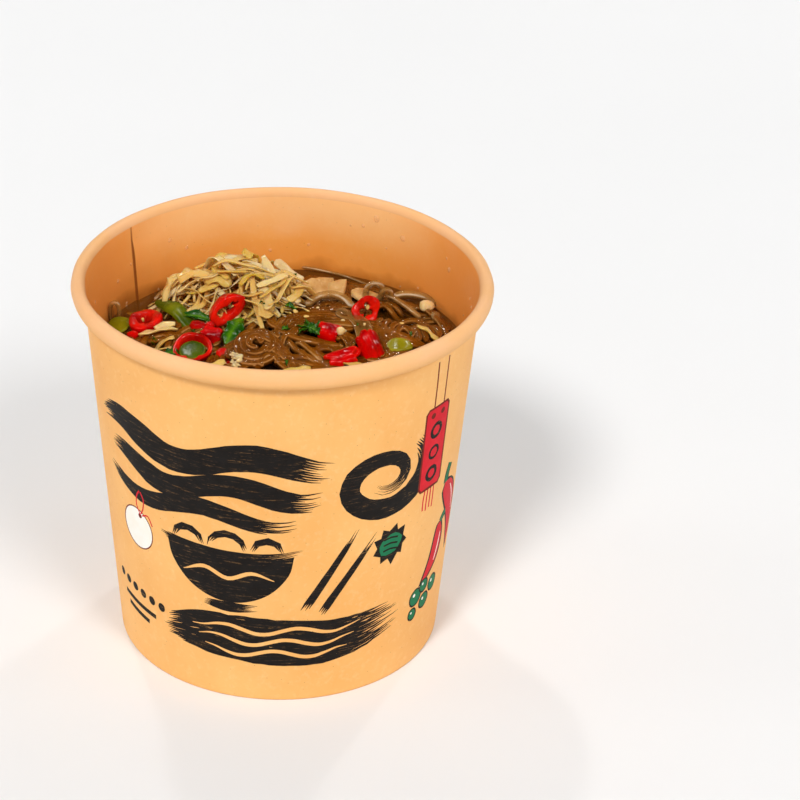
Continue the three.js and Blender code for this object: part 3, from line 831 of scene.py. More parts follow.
def outer_lap(d):
    return np.where(d < LAP_END - 0.12, 0.0, 1 - sstep(d, LAP_AT, LAP_AT + 9))


def ring_point(deg, r, z):
    a = np.radians(deg)
    return np.stack([r * np.sin(a), -r * np.cos(a), np.broadcast_to(z, np.shape(a))], -1)


def board_waver(deg, z):
    """The small unevenness of a rolled and seamed board."""
    a = np.radians(deg)
    return 0.10 * np.sin(2 * a + 0.7) + 0.05 * np.sin(5 * a + 1.9 + z * 0.02)


def rim_section(deg):
    """Closed outline of the board from the top of the outer wall, over the rolled rim, to the inner wall: radius and z."""
    c_r, c_z = RIM_R - RIM_HW, CUP_H - RIM_HH
    pts = []
    for a in (200, 180, 160, 140, 120, 100, 80, 60, 40, 20, 0, -20, -40, -60, -80, -100, -120):
        pts.append((c_r + (RIM_HW - BOARD) * math.cos(math.radians(a)), c_z + (RIM_HH - BOARD) * math.sin(math.radians(a))))
    pts.append((c_r + (RIM_HW - 0.25) * math.cos(math.radians(-124)), c_z + (RIM_HH - 0.25) * math.sin(math.radians(-124))))
    for a in range(-120, 171, 12):
        pts.append((c_r + RIM_HW * math.cos(math.radians(a)), c_z + RIM_HH * math.sin(math.radians(a))))
    return pts


Z_LOW, Z_HIGH = 1.2, 105.4
rows = np.array([Z_LOW, 4, 10, 16, 22, 28, 34, 40, 46, 52, 58, 64, 70, 76, 82, 88, 94, 99, 102.5, Z_HIGH])


def build_cup():
    st = deg_stations
    sdeg = np.where(st > 180, st - 360, st)
    order = np.argsort(sdeg)
    cols = sdeg[order]
    cols = np.concatenate([[-180.0], cols[cols > -180]])
    if cols[-1] < 180:
        cols = np.append(cols, 180.0)
    k = math.pi / 180 * R0
    pts, edges, faces, dryness = [], [], [], []
    for z in rows:
        for c in cols:
            pts.append((c * k, z))
            dryness.append(0.0)
    for p, mat, d in prints:
        base = len(pts)
        pts += [tuple(q) for q in p]
        dryness += list(d)
        faces.append(list(range(base, base + len(p))))
    vs, es, fs, ov, oe, of = delaunay_2d_cdt([Vector(p) for p in pts], edges, faces, 0, 1e-4, True)
    dryness = np.array(dryness)
    dry = np.array([max((dryness[i] for i in src), default=0.0) for src in ov])
    s = np.array([v[0] for v in vs])
    z = np.array([v[1] for v in vs])
    deg = s / k
    # new crossing points take the dryness of what is near them
    lone = np.array([len(src) == 0 for src in ov])
    if lone.any() and (~lone).any():
        from mathutils.kdtree import KDTree

        tree = KDTree(int((~lone).sum()))
        ids = np.nonzero(~lone)[0]
        for i in ids:
            tree.insert((s[i], z[i], 0), int(i))
        tree.balance()
        for i in np.nonzero(lone)[0]:
            dry[i] = dry[tree.find((s[i], z[i], 0))[1]]
    index = [prints[max(src)][1] if len(src) else 0 for src in of]
    d360 = np.mod(deg, 360)
    r = wall_out(z) + board_waver(d360, z) * np.clip((z - 2) / 20, 0, 1) * np.clip((104 - z) / 8, 0, 1)
    r = r + LAP_STEP * outer_lap(d360) * np.clip((z - Z_LOW) / 3, 0, 1) * np.clip((Z_HIGH - z) / 3, 0, 1)
    V = ring_point(d360, r, z)
    F = [tuple(f) for f in fs]
    M = list(index)
    N = ring_point(d360, np.cos(np.arctan(SLOPE)), -math.sin(math.atan(SLOPE)))
    # the rest of the board, turned at the same stations
    fold_in = lambda zz: wall_in(zz) - 2 * GAP - 2 * BOARD
    prof = [(wall_out(Z_HIGH), Z_HIGH, 0, 0)]
    prof += [(a, b, 0, 0) for a, b in rim_section(0)]
    prof += [(wall_in(105.6), 105.6, 0, 0), (wall_in(103.5), 103.5, 0.6, 0), (wall_in(101), 101, 1, 0)]
    prof += [(wall_in(zz), zz, 1, 0) for zz in (96, 91, 88.5, 86, 80, 60, 40, 20, 12)]
    prof += [(wall_in(9.4), 9.4, 0, 0), (wall_in(BOARD), BOARD, 0, 0)]
    fo = lambda zz: fold_in(zz) + BOARD
    prof += [(fo(BOARD), BOARD, 0, 0), (fo(FOLD_H), FOLD_H, 0, 0), (fold_in(FOLD_H), FOLD_H, 0, 0)]
    prof += [(fold_in(0.25), 0.25, 0, 0), (fold_in(0) + 0.25, 0.0, 0, 0), (FOOT_R - 0.55, 0.0, 0, 0), (FOOT_R - 0.18, 0.12, 0, 0), (FOOT_R + 0.02, 0.5, 0, 0)]
    prof += [(wall_out(Z_LOW), Z_LOW, 0, 0)]
    n = len(st)
    lath = []
    rim_top = CUP_H - 2 * RIM_HH
    for (rr, zz, wi, wo) in prof:
        r1 = rr - wi * LAP_STEP * inner_lap(st)
        z1 = np.full(n, float(zz))
        if zz > rim_top - 0.2:  # the roll is a little uneven, and thicker over the seam
            a = np.radians(st)
            lap = np.exp(-((st - (LAP_AT - 5)) / 5.0) ** 2)
            ripple = 0.05 * np.sin(17 * a + 1.1) + 0.04 * np.sin(29 * a + 0.4) + 0.08 * np.sin(3 * a + 2)
            lift = (zz - rim_top) / (2 * RIM_HH)
            r1 = r1 + (rr - (RIM_R - RIM_HW)) / RIM_HW * (ripple * 0.8 - 0.12 + 0.10 * lap)
            z1 = z1 + lift * (0.10 * np.sin(2 * a + 0.6) - 0.12 + 0.05 * np.sin(11 * a)) * (zz > CUP_H - RIM_HH)
        lath.append(ring_point(st, r1, z1))
    base = len(V)
    m = len(prof)
    LV = np.concatenate(lath)
    LF, LM = [], []
    inner_from = next(i for i, p in enumerate(prof) if p[1] == 105.6)
    for j in range(m - 1):
        for i in range(n):
            i2 = (i + 1) % n
            LF.append((base + j * n + i, base + j * n + i2, base + (j + 1) * n + i2, base + (j + 1) * n + i))
            LM.append(6 if inner_from - 1 <= j <= inner_from + 12 else 0)
    V = np.concatenate([V, LV])
    F += LF
    M += LM
    dry = np.concatenate([dry, np.zeros(len(LV))])
    on_seam = np.interp(st, [LAP_AT - 0.35, LAP_AT, LAP_AT + 0.25, LAP_AT + 0.8], [0, 1, 1, 0])
    seam = np.zeros(len(V))
    for j in range(inner_from - 1, inner_from + 13):
        seam[base + j * n: base + (j + 1) * n] = on_seam * (0.55 if j == inner_from - 1 else 0.9)
    o = make("cup_shell", V, F, [mat_out, mat_black, mat_red, mat_white, mat_green, mat_brown, mat_in], index=M, attrs={"dry": dry, "seam": seam})
    import bmesh

    bm = bmesh.new()
    bm.from_mesh(o.data)
    bmesh.ops.remove_doubles(bm, verts=bm.verts, dist=2e-6)
    bmesh.ops.recalc_face_normals(bm, faces=bm.faces)
    bm.to_mesh(o.data)
    bm.free()
    # exact normals on the plain outer wall, so that the print's triangles leave no trace
    me = o.data
    co = np.zeros(len(me.vertices) * 3)
    me.vertices.foreach_get("co", co)
    co = co.reshape(-1, 3) / MM
    nn = np.zeros(len(me.vertices) * 3)
    me.vertices.foreach_get("normal", nn)
    nn = nn.reshape(-1, 3)
    rr = np.hypot(co[:, 0], co[:, 1])
    onwall = (np.abs(rr - wall_out(co[:, 2])) < 0.3) & (co[:, 2] > Z_LOW + 1) & (co[:, 2] < Z_HIGH - 0.5)
    dd = np.degrees(np.arctan2(co[:, 0], -co[:, 1]))
    dd = np.mod(dd, 360)
    onwall &= ~((dd > LAP_END - 12) & (dd < LAP_AT + 12))
    ex = np.stack([co[:, 0] / rr, co[:, 1] / rr, np.full(len(rr), -SLOPE)], 1)
    ex /= np.linalg.norm(ex, axis=1)[:, None]
    nn[onwall] = ex[onwall]
    me.normals_split_custom_set_from_vertices(nn.tolist())
    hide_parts("cup_wall")
    return o


pieces = []
cup = build_cup()
pieces.append(cup)


def build_base():
    n = 120
    a = np.arange(n) * 360.0 / n
    fo = lambda zz: wall_in(zz) - 2 * GAP - BOARD
    prof = [(0.001, BASE_Z - 0.15), (20, BASE_Z - 0.1), (40, BASE_Z), (fo(BASE_Z) - 0.6, BASE_Z), (fo(BASE_Z) - 0.05, BASE_Z - 0.4),
            (fo(SKIRT_Z) + GAP, SKIRT_Z), (wall_in(SKIRT_Z) - GAP, SKIRT_Z), (wall_in(BASE_Z) - GAP, BASE_Z),
            (wall_in(BASE_Z) - GAP - 0.3, BASE_Z + BOARD), (40, BASE_Z + BOARD), (0.001, BASE_Z + BOARD - 0.15)]
    V = np.concatenate([ring_point(a, np.full(n, r), np.full(n, z)) for r, z in prof])
    F = [(j * n + i, j * n + (i + 1) % n, (j + 1) * n + (i + 1) % n, (j + 1) * n + i) for j in range(len(prof) - 1) for i in range(n)]
    o = make("cup_base_disc", V, F, [mat_out])
    import bmesh

    bm = bmesh.new()
    bm.from_mesh(o.data)
    bmesh.ops.remove_doubles(bm, verts=bm.verts, dist=3e-6)
    bmesh.ops.recalc_face_normals(bm, faces=bm.faces)
    bm.to_mesh(o.data)
    bm.free()
    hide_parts("cup_base")
    return o


pieces.append(build_base())


# ------------------------------------------------------------------ contents: heights
def mound(x, y, cx, cy, sx, sy, h):
    return h * np.exp(-(((x - cx) / sx) ** 2) - ((y - cy) / sy) ** 2)


def noodle_top(x, y):
    """Height that the noodles reach, without single strands."""
    return (
        86.3 + mound(x, y, 8, 4, 24, 22, 4.4) + mound(x, y, -7.7, -5.3, 9, 8, 2.4)
        + mound(x, y, 34, 11, 13, 13, 2.4) + mound(x, y, 4, -26, 26, 14, 2.6) + mound(x, y, -18, 9, 13, 10, 2.6)
    )


def noodle_edge(a):
    return 48.6 + 1.2 * np.sin(a + 0.5) + 0.8 * np.sin(3 * a + 2) + 0.6 * np.sin(7 * a + 0.4)


def cabbage_top(x, y):
    return 87.9 + mound(x, y, -9, 27, 12, 10, 5.6) + mound(x, y, -24, 27, 9, 7, 2.6)


CAB = (-13.0, 28.5, 20.0, 14.5)


def in_cabbage(x, y, grow=0.0):
    return ((x - CAB[0]) / (CAB[2] + grow)) ** 2 + ((y - CAB[1]) / (CAB[3] + grow)) ** 2


def heap_core(name, cx, cy, a, b, edge, top, bottom, mat, rings=26, facets=120):
    V, F = [], []
    t = np.arange(facets) * 2 * math.pi / facets
    e = edge(t)
    rs = np.linspace(1, 0.03, rings)
    for r, zz in ((0.9, bottom), (0.985, 82.0)) if bottom < 80 else ((0.97, bottom), (1.0, bottom + 1.5)):
        V.append(np.stack([cx + a * e * r * np.sin(t), cy - b * e * r * np.cos(t), np.full(facets, zz)], 1))
    for r in rs:
        x, y = cx + a * e * r * np.sin(t), cy - b * e * r * np.cos(t)
        z = top(x, y) - 1.5 * sstep(np.full(facets, r), 0.9, 1.0)
        V.append(np.stack([x, y, z], 1))
    V = np.concatenate(V)
    m = len(V) // facets
    F = [(j * facets + i, j * facets + (i + 1) % facets, (j + 1) * facets + (i + 1) % facets, (j + 1) * facets + i) for j in range(m - 1) for i in range(facets)]
    F.append(tuple(range(facets))[::-1])
    F.append(tuple((m - 1) * facets + i for i in range(facets)))
    return make(name, V, F, [mat])


CORE_DROP = 4.4
core = heap_core("noodle_core", 0, 0, 1, 1, lambda t: noodle_edge(t) - 2.0, lambda x, y: noodle_top(x, y) - CORE_DROP + 0.5 * np.sin(0.7 * x + 0.4 * y) * np.cos(0.6 * y), 58.5, mat_core)
pieces.append(core)
cab_core = heap_core("cabbage_core", CAB[0], CAB[1], CAB[2] - 2.5, CAB[3] - 2.5, lambda t: 1 + 0.05 * np.sin(3 * t + 1), lambda x, y: cabbage_top(x, y) - 2.4, 84.4, mat_cabbage)
pieces.append(cab_core)

# ------------------------------------------------------------------ toppings, as the solids have them
RED_T, GRN_T, OLV_T, PAL_T = "chili", "green_pepper", "olive_pepper", "cabbage"
TOP = {
    "chili_ring_left": ("ring", dict(a=4.5, b=4.3, wall=2.3, height=3.8, seed=1), (-39.0, 13.2, 88.9), (12, -10, -5), RED_T),
    "chili_ring_long": ("ring", dict(a=5.5, b=3.5, wall=2.1, height=4.2, seed=2, wobble=0.06), (-16.2, 15.0, 93.0), (78, -34, 26), RED_T),
    "chili_lump_mid": ("piece", dict(radius=2.9, wall=1.4, length=5.2, arc=165), (-20.0, 4.4, 90.5), (18, -16, 70), RED_T),
    "chili_ring_large": ("ring", dict(a=5.5, b=5.5, wall=1.1, height=2.2, seed=4, wobble=0.03), (-25.2, -2.8, 88.9), (15, -3, -5), RED_T),
    "pepper_disc": ("lump", dict(a=3.7, b=3.8, h=1.0, seed=5, rough=0.05), (-25.2, -2.9, 88.8), (15, -3, -5), GRN_T),
    "chili_piece_centre": ("piece", dict(radius=3.1, wall=1.5, length=5.8, arc=200), (13.2, 3.0, 92.2), (16, -37, 69), RED_T),
    "chili_ring_right": ("ring", dict(a=4.0, b=3.9, wall=2.2, height=2.8, seed=6, wobble=0.10), (23.8, 15.8, 92.3), (55, -5, 9), RED_T),
    "chili_fold_right": ("piece", dict(radius=3.8, wall=1.5, length=8.2, arc=150), (24.7, -3.8, 91.6), (49, -8, 23), RED_T),
    "chili_slice_near": ("piece", dict(radius=3.4, wall=1.4, length=8.4, arc=150), (16.6, -10.6, 91.2), (-16, -27, 107), RED_T),
    "green_strip_left": ("strip", dict(length=22, width=4.6, thick=2.0, bend=42, curl=1.0), (-30.8, 17.6, 90.6), (12, 1, -57), GRN_T),
    "green_leaf_centre": ("strip", dict(length=12.5, width=5.2, thick=1.0, bend=50, curl=1.6), (-13.6, 4.4, 92.2), (10, -11, 62), "leaf"),
    "pepper_slice_left": ("lump", dict(a=3.9, b=2.9, h=1.7, sag=0.5, seed=7, rough=0.06), (-46.9, 14.0, 87.4), (17, -19, 28), OLV_T),
    "pepper_slice_right": ("lump", dict(a=4.1, b=2.7, h=1.7, sag=0.6, seed=8, rough=0.06), (32.9, -0.6, 89.8), (16, -3, 2), OLV_T),
    "cabbage_chip_a": ("lump", dict(a=4.0, b=3.3, h=1.9, seed=9, rough=0.16), (8.2, 33.8, 90.4), (31, -2, 10), PAL_T),
    "cabbage_chip_b": ("lump", dict(a=3.3, b=2.7, h=1.7, seed=10, rough=0.16), (15.6, 34.8, 90.0), (31, -7, -5), PAL_T),
    "cabbage_chip_c": ("lump", dict(a=3.2, b=2.1, h=1.6, seed=11, rough=0.14), (22.6, 32.2, 89.6), (24, -2, -2), PAL_T),
    "white_stalk": ("strip", dict(length=10.5, width=2.8, thick=1.2, bend=14, curl=0.0), (1.6, 37.2, 94.3), (20, 16, -34), PAL_T),
    "chili_ring_front_a": ("ring", dict(a=4.8, b=4.4, wall=1.3, height=2.6, seed=12), (-9.5, -23.5, 90.6), (-10, 14, 30), RED_T),
    "chili_ring_front_b": ("ring", dict(a=3.9, b=4.3, wall=1.5, height=3.2, seed=13), (30.5, -24.5, 89.4), (16, -12, -20), RED_T),
    "chili_piece_front": ("piece", dict(radius=3.4, wall=1.4, length=7.4, arc=180), (-33.0, -11.5, 88.4), (4, 6, 34), RED_T),
    "green_strip_front": ("strip", dict(length=16, width=4.4, thick=2.0, bend=60, curl=1.0), (9.0, -33.5, 90.4), (4, 0, 14), GRN_T),
    "pepper_slice_front": ("lump", dict(a=4.0, b=3.2, h=1.9, sag=0.6, seed=14, rough=0.06), (-25.5, -29.5, 88.4), (-6, 4, 40), OLV_T),
    "cabbage_chip_front": ("lump", dict(a=4.2, b=3.4, h=2.4, seed=15, rough=0.15), (19.5, -37.0, 88.3), (-8, 4, 26), PAL_T),
}


def ring_mesh(a, b, wall, height, seed=0, wobble=0.05, taper=0.12, seg=64):
    """A slice of a hollow pod: rounded skin outside, cut faces, softer flesh and ribs inside."""
    sec = (
        (0.98, -0.84, 0.0), (1.02, -0.45, 0.0), (1.04, 0.0, 0.0), (1.02, 0.5, 0.0), (0.98, 0.84, 0.1),
        (0.86, 1.0, 0.75), (0.5, 1.04, 1.0), (0.14, 0.98, 1.0), (0.02, 0.80, 1.0), (-0.04, 0.3, 1.0),
        (-0.04, -0.3, 1.0), (0.02, -0.8, 1.0), (0.14, -0.98, 1.0), (0.5, -1.04, 1.0), (0.86, -1.0, 0.75),
    )
    k = len(sec)
    t = np.arange(seg) * 2 * math.pi / seg
    rr = 1 + wobble * np.sin(2 * t + seed) + 0.6 * wobble * np.sin(3 * t + 2 * seed) + 0.25 * wobble * np.sin(5 * t + seed)
    r2 = np.random.default_rng(int(seed * 13 + 5))
    rib = np.zeros(seg)
    for c in r2.uniform(0, 2 * math.pi, 3):
        rib += np.exp(-((np.angle(np.exp(1j * (t - c)))) / 0.2) ** 2)
    hvar = 1 + 0.12 * np.sin(t * 2 + seed * 3) + 0.06 * np.sin(5 * t + seed)
    V, fl = [], []
    for i in range(seg):
        for u, w, f in sec:
            th = wall * (1 + 0.10 * math.sin(4 * t[i] + seed) + 0.16 * math.sin(3 * t[i] + 2.1 * seed)) + (0.8 * rib[i] if u < 0.3 else 0)
            ra, rb = a - th * (1 - u), b - th * (1 - u)
            z = w * height / 2 * hvar[i]
            kk = 1 + taper * z / height
            V.append((ra * rr[i] * math.cos(t[i]) * kk, rb * rr[i] * math.sin(t[i]) * kk, z + 0.3 * math.sin(2 * t[i] + seed)))
            fl.append(f)
    F = [(i * k + j, ((i + 1) % seg) * k + j, ((i + 1) % seg) * k + (j + 1) % k, i * k + (j + 1) % k) for i in range(seg) for j in range(k)]
    return np.array(V), F, np.array(fl)


def piece_mesh(radius, wall, length, arc, taper=0.2, seed=1.0, seg=34, rows_n=26):
    """A torn piece of a pod's side: curved across, creased along, with uneven cut ends."""
    half = math.radians(arc / 2)
    V, fl = [], []
    grid = {}
    u = np.linspace(-1, 1, seg)
    v = np.linspace(-1, 1, rows_n)
    for side in (0, 1):
        for j, vv in enumerate(v):
            for i, uu in enumerate(u):
                edge = max(abs(uu), abs(vv))
                pull = 0.24 * wall * max(0.0, (edge - 0.9) / 0.1) ** 2
                th = uu * half * (1 - 0.03 * vv)
                crease = 0.34 * math.exp(-((uu - 0.25 * math.sin(seed)) / 0.16) ** 2)
                r = (radius - pull) if side == 0 else (radius - wall * (1 + 0.15 * math.sin(5 * uu + seed)) + pull)
                r += 0.10 * math.sin(4 * uu + 3 * vv + seed) - crease + 0.05 * math.sin(7 * vv + 2 * seed)
                ends = 1 + 0.13 * math.sin(3.3 * uu + seed) + 0.07 * math.sin(8 * uu + 2 * seed) + 0.04 * math.sin(17 * uu + seed)
                y = vv * length / 2 * ends * (1 - 0.10 * abs(uu) ** 3)
                kx = 1 - taper * y / length
                x, z = r * math.sin(th), r * math.cos(th) - radius + wall
                grid[(side, j, i)] = len(V)
                V.append((x * kx, y, z * (1 - 0.5 * taper * y / length) + 0.35 * math.sin(2.2 * vv + seed)))
                fl.append(max(0.0, (edge - 0.86) / 0.14) if side == 0 else 1.0)
    F = []
    for j in range(rows_n - 1):
        for i in range(seg - 1):
            F.append((grid[(0, j, i)], grid[(0, j, i + 1)], grid[(0, j + 1, i + 1)], grid[(0, j + 1, i)]))
            F.append((grid[(1, j, i)], grid[(1, j + 1, i)], grid[(1, j + 1, i + 1)], grid[(1, j, i + 1)]))
    loop = [(0, i) for i in range(seg)] + [(j, seg - 1) for j in range(1, rows_n)] + [(rows_n - 1, i) for i in range(seg - 2, -1, -1)] + [(j, 0) for j in range(rows_n - 2, 0, -1)]
    for q in range(len(loop)):
        (j0, i0), (j1, i1) = loop[q], loop[(q + 1) % len(loop)]
        F.append((grid[(0, j0, i0)], grid[(1, j0, i0)], grid[(1, j1, i1)], grid[(0, j1, i1)]))
    return np.array(V), F, np.array(fl)


def strip_mesh(length, width, thick, bend, curl=0.0, seed=1.0, nl=40, sides=20, kind="pepper"):
    """A strip bent along its length, rounded across, with blunt rounded ends."""
    V, fl = [], []
    R = length / math.radians(bend)
    for i in range(nl):
        u = -1 + 2 * i / (nl - 1)
        if kind == "leaf":
            shrink = max(0.08, math.sin(math.pi * (0.5 + 0.5 * u * 0.98) ** 0.85) ** 0.75)
            wob = 1 + 0.10 * math.sin(7 * u + seed) + 0.06 * math.sin(15 * u + 2 * seed)
        elif kind == "stalk":
            shrink = max(0.6, (1 - abs(u) ** 22) ** 0.5 if abs(u) < 1 else 0.0)
            wob = 1 + 0.10 * math.sin(3.1 * u + seed)
        else:
            shrink = max(0.12, (1 - abs(u) ** 7) ** 0.5 if abs(u) < 1 else 0.0)
            wob = 1 + 0.10 * math.sin(3.1 * u + seed) + 0.05 * math.sin(7 * u + 2 * seed)
        for j in range(sides):
            a = 2 * math.pi * j / sides
            cy, cz = math.cos(a), math.sin(a)
            y = abs(cy) ** 0.75 * math.copysign(1, cy) * width / 2 * shrink * wob
            z = abs(cz) ** 0.85 * math.copysign(1, cz) * thick / 2 * shrink ** 0.5
            if kind == "stalk":
                z *= 1 + 0.22 * math.cos(9.0 * y / width)
            z += -curl * (y / width) ** 2 if curl else 0.0
            if kind == "leaf":
                z += 1.5 * abs(y) / width + 0.35 * math.sin(8 * u + 3 * y / width + seed) * abs(2 * y / width)
            if kind == "pepper":
                z += 0.25 * math.sin(5 * u + seed)
            t = (u * length / 2) / R
            r = R + z
            V.append((r * math.sin(t), y + 0.5 * math.sin(2 * u + seed), r * math.cos(t) - R))
            if kind == "leaf":
                fl.append(0.8 * math.exp(-abs(y) * 1.6) + 0.55 * max(0.0, u - 0.1))
            else:
                fl.append(1.0 if cz < 0.1 or abs(cy) > 0.97 else 0.35 * max(0.0, math.sin(3.5 * u + seed)))
    F = [(i * sides + j, (i + 1) * sides + j, (i + 1) * sides + (j + 1) % sides, i * sides + (j + 1) % sides) for i in range(nl - 1) for j in range(sides)]
    F.append(tuple(range(sides)))
    F.append(tuple((nl - 1) * sides + j for j in reversed(range(sides))))
    return np.array(V), F, np.clip(np.array(fl), 0, 1)


def lump_mesh(a, b, h, sag=0.0, seed=0.0, rough=0.12):
    """A slice with a rounded edge; rough ones are broken into flat faces with soft corners."""
    v, f = ico()
    if rough > 0.1:
        r2 = np.random.default_rng(int(seed * 7 + 1))
        nrm = r2.normal(0, 1, (12, 3))
        nrm = np.vstack([nrm / np.linalg.norm(nrm, axis=1)[:, None], [0, 0, 1], [0, 0, -1]])
        dist = np.append(r2.uniform(0.7, 0.98, 12), [0.72, 0.72])
        q = np.maximum(v @ nrm.T, 1e-3) / dist
        n = 1.08 / (np.sum(q**26, axis=1) ** (1 / 26))
        n = n * (1 + 0.07 * pnoise(v, 3.0, seed) + 0.05 * pnoise(v, 8.0, seed + 3))
        V = np.stack([v[:, 0] * a * n, v[:, 1] * b * n, v[:, 2] * h / 2 * n * 1.15], 1)
        return V, f, np.zeros(len(v))
    n = 1 + rough * np.sin(3.1 * v[:, 0] + 2.3 * v[:, 1] + seed) * np.cos(2.7 * v[:, 2] - 1.9 * v[:, 1] + seed)
    n = n * (1 + 1.6 * rough * pnoise(v, 1.7, seed) + 0.6 * rough * pnoise(v, 5.0, seed + 3))
    sx = np.sign(v[:, 0]) * np.abs(v[:, 0]) ** 1.12
    z = np.sign(v[:, 2]) * np.abs(v[:, 2]) ** 0.6
    V = np.stack([sx * a * n, v[:, 1] * b * n, z * h / 2 * (0.75 + 0.25 * n) - sag * v[:, 0] ** 2 + 0.3 * h * v[:, 1] ** 2 * (1 if sag else 0.3)], 1)
    return V, f, np.clip(np.abs(v[:, 2]) < 0.35, 0, 1) * 0.7


MAKERS = {"ring": ring_mesh, "piece": piece_mesh, "strip": strip_mesh, "lump": lump_mesh}
T_MAT = {RED_T: mat_chili, GRN_T: mat_green_pepper, OLV_T: mat_olive, PAL_T: mat_chip, "leaf": mat_leaf}
seeds_bag = Bag()


def seed_at(at, turn, size=1.25):
    v, f = small_ball(2)
    v = v * np.array([size, size * 0.8, size * 0.26])
    v[:, 2] += 0.12 * np.sin(v[:, 0] * 2)
    seeds_bag.add(place(v, at, turn), f)


for name, (kind, size, at, turn, slot_name) in TOP.items():
    extra = {} if kind in ("ring", "lump") else {"seed": float(sum(map(ord, name)) % 17)}
    if kind == "strip":
        extra["kind"] = "stalk" if name == "white_stalk" else "leaf" if slot_name == "leaf" else "pepper"
    V, F, fl = MAKERS[kind](**size, **extra)
    mat = mat_stalk if name == "white_stalk" else T_MAT[slot_name]
    V = place(V, at, turn)
    o = make(name + "_real", V, F, [mat], smooth=not (kind == "lump" and slot_name == PAL_T), attrs={"flesh": fl, "green": np.zeros(len(fl)), "low": np.zeros(len(fl)), "pale": np.zeros(len(fl))})
    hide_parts(name)
    pieces.append(o)
    if kind == "ring" and name != "chili_ring_large":
        R = rot("z", turn[2]) @ rot("y", turn[1]) @ rot("x", turn[0])
        for k in range(1 + (size["a"] > 4.5)):
            ang = 1.1 + 2.4 * k + size["seed"]
            p = np.array([(size["a"] - size["wall"] - 0.5) * math.cos(ang), (size["b"] - size["wall"] - 0.5) * math.sin(ang), 0.2])
            seed_at(R @ p + np.array(at), (turn[0] + 60, turn[1] + 20 * k, turn[2] + math.degrees(ang) + 90), 1.0)

# ------------------------------------------------------------------ noodles
CELL = 0.45
GN = int(108 / CELL) + 1
gx = (np.arange(GN) * CELL) - 54.0
GX, GY = np.meshgrid(gx, gx, indexing="ij")
ang = np.arctan2(GX, -GY)
edge_r = noodle_edge(ang)
rad_ = np.hypot(GX, GY)
H = noodle_top(GX, GY) - CORE_DROP
H = np.where(rad_ > edge_r - 1.0, np.minimum(H, 83.0) - 1.2 * np.clip(rad_ - edge_r + 1, 0, 6), H)
CAP = noodle_top(GX, GY) + 1.3
CAP = np.where(rad_ > edge_r - 0.5, np.maximum(86.6 - 0.45 * (rad_ - edge_r + 0.5), 84.2), CAP)
# the dark pool at the left stays open
CAP = CAP - 5.0 * np.exp(-(((GX + 44) / 5.5) ** 2) - ((GY - 22) / 8) ** 2)
CAP = np.where(in_cabbage(GX, GY, 0.5) < 1, cabbage_top(GX, GY) - 1.6, CAP)
TOPCAP = np.full_like(CAP, 200.0)
# strands stay under the toppings that lie on them
for name, (kind, size, at, turn, slot_name) in TOP.items():
    ext = {"ring": (size.get("a", 0), size.get("b", 0)), "lump": (size.get("a", 0), size.get("b", 0)),
           "piece": (size.get("radius", 0), size.get("length", 0) / 2), "strip": (size.get("length", 0) / 2, size.get("width", 0) / 2)}[kind]
    R = rot("z", turn[2]) @ rot("y", turn[1]) @ rot("x", turn[0])
    d = np.stack([GX - at[0], GY - at[1]], -1)
    lx = d @ R[:2, 0] / max(0.35, np.linalg.norm(R[:2, 0])) ** 2
    ly = d @ R[:2, 1] / max(0.35, np.linalg.norm(R[:2, 1])) ** 2
    inside = (lx / (ext[0] + 0.9)) ** 2 + (ly / (ext[1] + 0.9)) ** 2 < 1
    plane = at[2] - (R[0, 2] * d[..., 0] + R[1, 2] * d[..., 1]) / max(R[2, 2], 0.45)
    hh = size.get("height", size.get("h", size.get("thick", 1.5))) / 2
    if kind == "piece":
        hh = size["radius"] * 0.4
    if kind == "strip":
        hh += (ext[0] ** 2 - 0) / (2 * size["length"] / math.radians(size["bend"])) * np.clip(lx / ext[0], -1, 1) ** 2
    if name in ("pepper_disc", "chili_ring_large"):
        hh += 2.2
    TOPCAP = np.where(inside, np.minimum(TOPCAP, plane - hh * 0.55 + 0.1), TOPCAP)
CAP = np.minimum(CAP, TOPCAP)


def sample(Z, x, y):
    i = np.clip(((np.asarray(x, float) + 54) / CELL), 0, GN - 1.001)
    j = np.clip(((np.asarray(y, float) + 54) / CELL), 0, GN - 1.001)
    i0, j0 = i.astype(int), j.astype(int)
    fi, fj = i - i0, j - j0
    return (
        Z[i0, j0] * (1 - fi) * (1 - fj) + Z[i0 + 1, j0] * fi * (1 - fj)
        + Z[i0, j0 + 1] * (1 - fi) * fj + Z[i0 + 1, j0 + 1] * fi * fj
    )


def disc_cells(r):
    K = int(math.ceil(r / CELL))
    return K, [(a, b, math.sqrt(r * r - (a * a + b * b) * CELL * CELL)) for a in range(-K, K + 1) for b in range(-K, K + 1) if (a * a + b * b) * CELL * CELL <= r * r]


def cells(x, y, K):
    return (
        np.clip(np.round((x + 54) / CELL).astype(int), K, GN - 1 - K),
        np.clip(np.round((y + 54) / CELL).astype(int), K, GN - 1 - K),
    )


def smooth_line(z, k):
    n = len(z)
    pad = np.pad(z, k, mode="edge")
    w = np.hanning(2 * k + 3)[1:-1]
    return sum(pad[q:q + n] * w[q] for q in range(2 * k + 1)) / w.sum()


